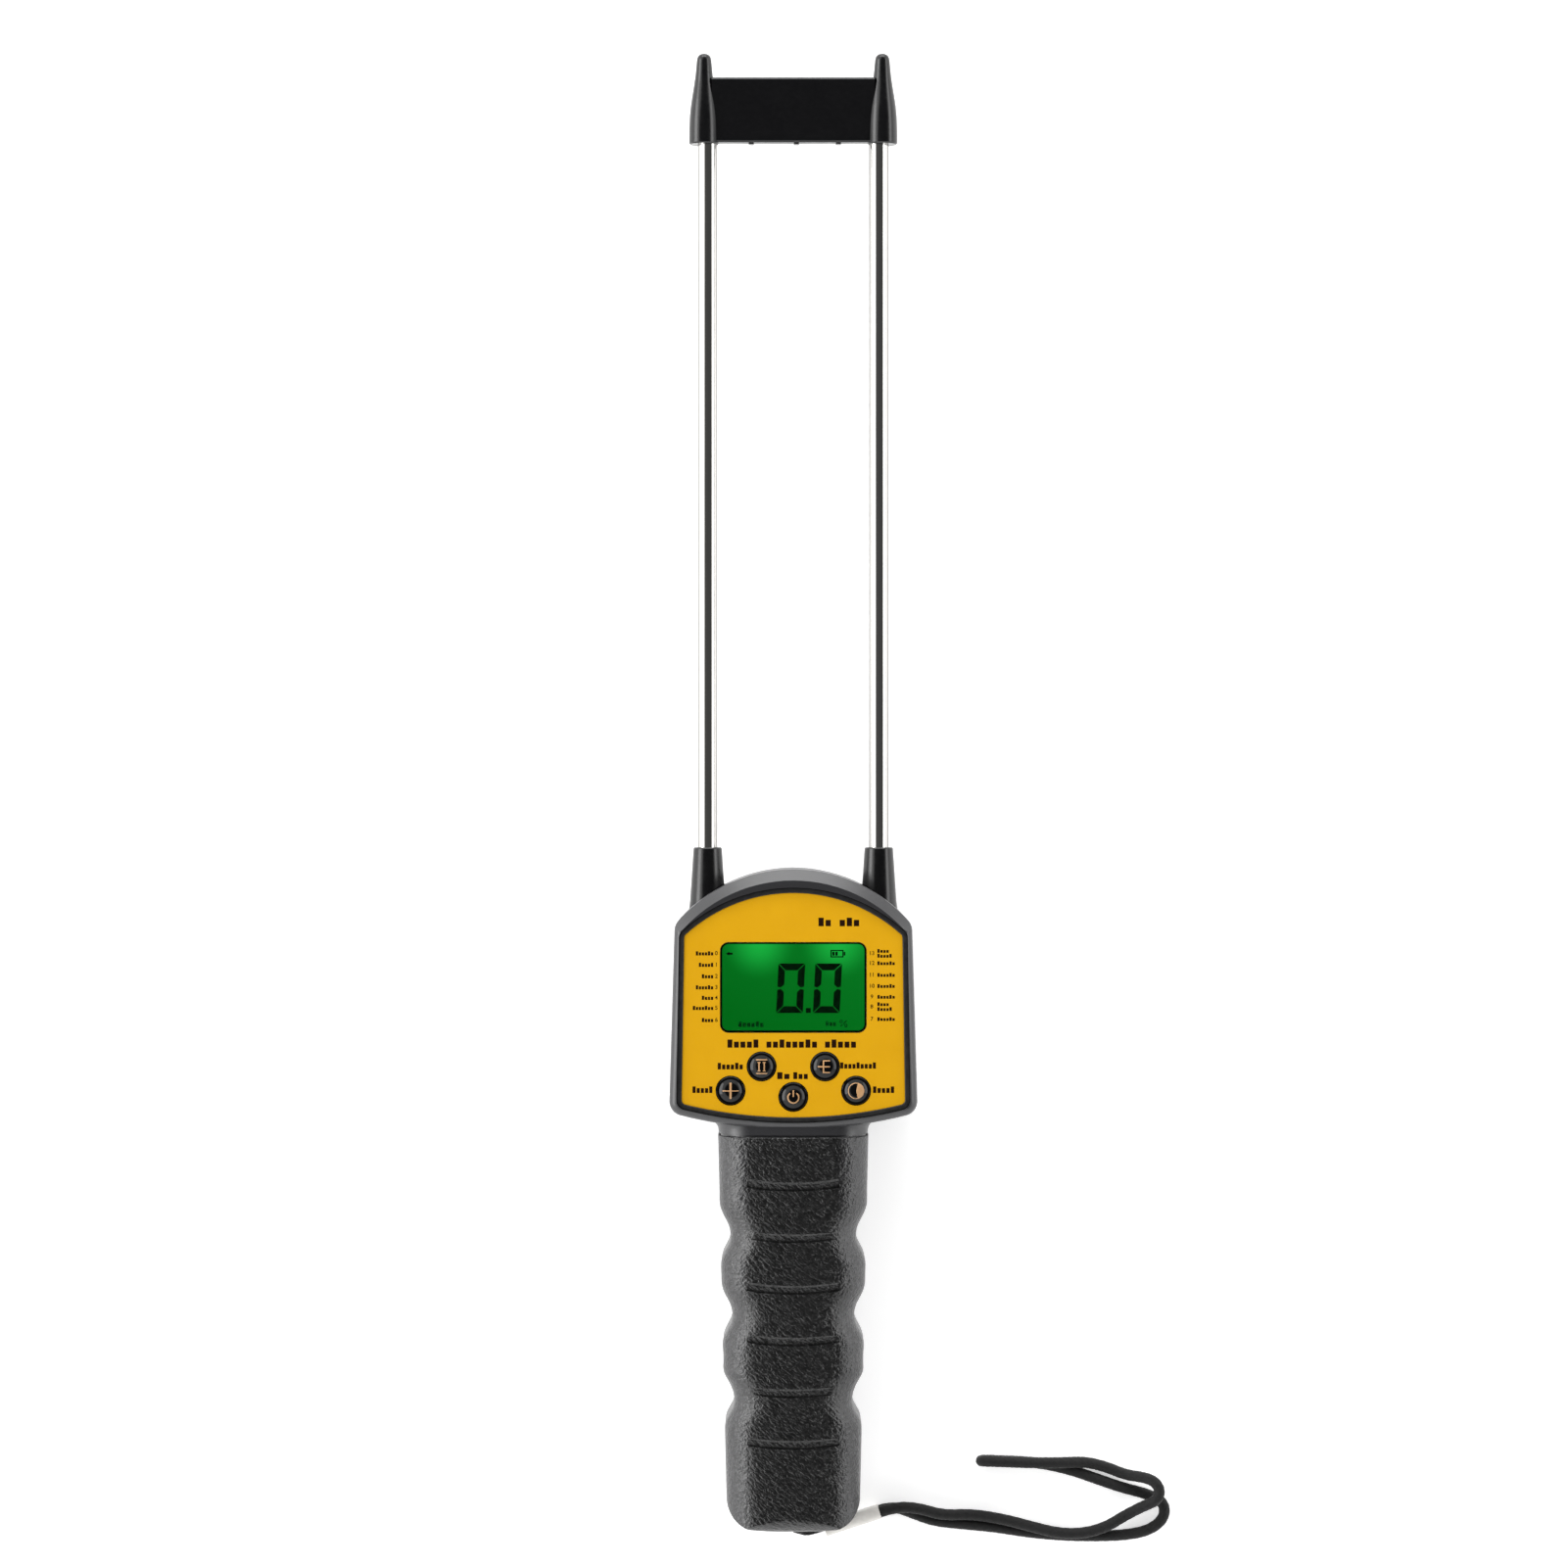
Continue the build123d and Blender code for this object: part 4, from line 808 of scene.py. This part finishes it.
def inner_finishes():
    """Materials for the nodes inside the housing, by node name."""
    component = plastic_finish("component_black", (0.01, 0.01, 0.011), (0.02, 0.02, 0.02), 0.5)
    switch = plastic_finish("switch_plastic", (0.05, 0.05, 0.055), (0.09, 0.09, 0.09), 0.4)
    wire = plastic_finish("wire_cover", (0.35, 0.01, 0.01), (0.45, 0.02, 0.015), 0.4)
    brass = metal_finish("clamp_brass", (0.50, 0.33, 0.12), (0.68, 0.48, 0.20), rough=0.3)
    bright = metal_finish("contact_metal", (0.55, 0.54, 0.52), (0.80, 0.78, 0.75), rough=0.25)
    screw = metal_finish("screw_steel", (0.30, 0.30, 0.31), (0.55, 0.55, 0.56), rough=0.3)
    cell = cell_finish()
    finishes = {
        "lcd_frame": plastic_finish("frame_white", (0.62, 0.62, 0.60), (0.72, 0.72, 0.70), 0.45),
        "backlight_panel": glow_finish("light_guide", (0.05, 0.55, 0.12), 0.2),
        "backlight_leds": glow_finish("lamp", (0.2, 1.0, 0.3), 0.6),
        "zebra_connector": plastic_finish("contact_rubber", (0.03, 0.03, 0.035), (0.16, 0.16, 0.17), 0.6),
        "main_board": plastic_finish("board_green", (0.004, 0.07, 0.03), (0.008, 0.11, 0.05), 0.35),
        "controller_chip": component,
        "board_parts": component,
        "tact_switches": switch,
        "speaker": metal_finish("speaker_metal", (0.10, 0.10, 0.11), (0.22, 0.22, 0.23), rough=0.4),
        "battery_contacts": bright,
        "battery_springs": bright,
        "rod_clamp_left": brass,
        "rod_clamp_right": brass,
    }
    for name in KEY_PLACES:
        finishes[f"switch_plunger_{name}"] = switch
    for name in ("signal_wire_left", "signal_wire_right", "speaker_wires", "battery_wires"):
        finishes[name] = wire
    for name in ("board_screws", "clamp_screws", "housing_screws"):
        finishes[name] = screw
    for count in range(1, 5):
        finishes[f"battery_{count}"] = cell
    return finishes


def finish_nodes(yarn):
    """Gives every CAD node its material."""
    finishes = {"strap_string": yarn, "wrist_strap": yarn, **outer_finishes(), **inner_finishes()}
    for name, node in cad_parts.items():
        node.data.materials.clear()
        node.data.materials.append(finishes[name])


def soften_edges():
    """Small rounded edges on the mouldings and the plate, so that their corners catch the light."""
    for name, wide in SOFT_EDGES.items():
        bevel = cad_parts[name].modifiers.new("soft_edge", "BEVEL")
        bevel.width = wide * MM
        bevel.segments = 2
        bevel.limit_method = "ANGLE"
        bevel.angle_limit = math.radians(SHARP_DEGREES)


# ---------------------------------------------------------------- studio


def add_floor():
    """A pale table, bright enough to read as plain paper."""
    made = Finish("table_paper", Roughness=0.9, Specular_IOR_Level=0.1, Emission_Strength=TABLE_GLOW)
    made.tint(made.noise(40, detail=2), (0.88, 0.88, 0.88), (0.90, 0.90, 0.90))
    made.set("Emission Color", (1.0, 1.0, 1.0, 1.0))
    corner_signs = ((-1, -1), (1, -1), (1, 1), (-1, 1))
    shape = bpy.data.meshes.new("table")
    shape.from_pydata(
        [(x * TABLE_REACH, y * TABLE_REACH, 0) for x, y in corner_signs], [], [(0, 1, 2, 3)]
    )
    shape.materials.append(made.material)
    floor = bpy.data.objects.new("table", shape)
    bpy.context.scene.collection.objects.link(floor)


def light_room():
    """A light tent: bright all round and dark overhead, a little to the right of the camera."""
    world = bpy.data.worlds.new("light_tent")
    world.use_nodes = True
    bpy.context.scene.world = world
    tree = world.node_tree
    direction = tree.nodes.new("ShaderNodeTexCoord").outputs["Generated"]

    def carried(along, low, high, to_low, to_high, kind="LINEAR"):
        """How far the direction points along a line, carried from low..high to another range."""
        dot = tree.nodes.new("ShaderNodeVectorMath")
        dot.operation = "DOT_PRODUCT"
        dot.inputs[1].default_value = along
        tree.links.new(direction, dot.inputs[0])
        made = tree.nodes.new("ShaderNodeMapRange")
        made.interpolation_type = kind
        for socket, value in zip(("From Min", "From Max", "To Min", "To Max"), (low, high, to_low, to_high)):
            made.inputs[socket].default_value = value
        tree.links.new(dot.outputs["Value"], made.inputs["Value"])
        return made.outputs["Result"]

    lean = math.radians(HOOD_LEAN)
    hood = carried((math.sin(lean), 0, math.cos(lean)), *HOOD_EDGE, TENT_BRIGHT, HOOD_DARK, "SMOOTHSTEP")
    sides = carried((1, 0, 0), -1, 1, *TENT_SIDES)
    both = tree.nodes.new("ShaderNodeMath")
    both.operation = "MULTIPLY"
    tree.links.new(hood, both.inputs[0])
    tree.links.new(sides, both.inputs[1])
    background = tree.nodes["Background"]
    tree.links.new(both.outputs["Value"], background.inputs["Strength"])
    background.inputs["Color"].default_value = (1.0, 1.0, 1.0, 1.0)


def add_light(name, place, size, power):
    """A soft box that faces the middle of the meter."""
    light = bpy.data.lights.new(name, "AREA")
    light.shape = "RECTANGLE"
    light.size, light.size_y = size
    light.energy = power
    lamp = bpy.data.objects.new(name, light)
    lamp.location = place
    away = -lamp.location
    lamp.rotation_euler = away.to_track_quat("-Z", "Y").to_euler()
    bpy.context.scene.collection.objects.link(lamp)


def add_camera():
    """A long lens straight above the meter."""
    lens = bpy.data.cameras.new("overhead")
    lens.lens = CAMERA_LENS_MM
    lens.sensor_width = CAMERA_SENSOR_MM
    lens.clip_start = 0.05
    lens.clip_end = 20.0
    camera = bpy.data.objects.new("overhead", lens)
    camera.location = CAMERA_PLACE
    bpy.context.scene.collection.objects.link(camera)
    bpy.context.scene.camera = camera


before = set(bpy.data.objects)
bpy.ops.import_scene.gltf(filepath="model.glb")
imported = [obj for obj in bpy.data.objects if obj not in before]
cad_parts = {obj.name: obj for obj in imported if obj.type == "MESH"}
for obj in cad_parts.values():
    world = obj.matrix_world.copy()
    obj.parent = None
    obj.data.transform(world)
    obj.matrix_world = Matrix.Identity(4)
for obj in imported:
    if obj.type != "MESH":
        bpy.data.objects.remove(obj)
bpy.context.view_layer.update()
yarn = braid_finish("strap_braid", (0.002, 0.002, 0.002), (0.012, 0.012, 0.012), 0.3)
finish_nodes(yarn)
soften_edges()
add_cords(yarn)
panel_print()
key_icons()
crystal_marks()
add_floor()
light_room()
for name, (place, size, power) in SOFT_BOXES.items():
    add_light(name, place, size, power)
add_camera()
bpy.context.scene.view_settings.view_transform = "Standard"
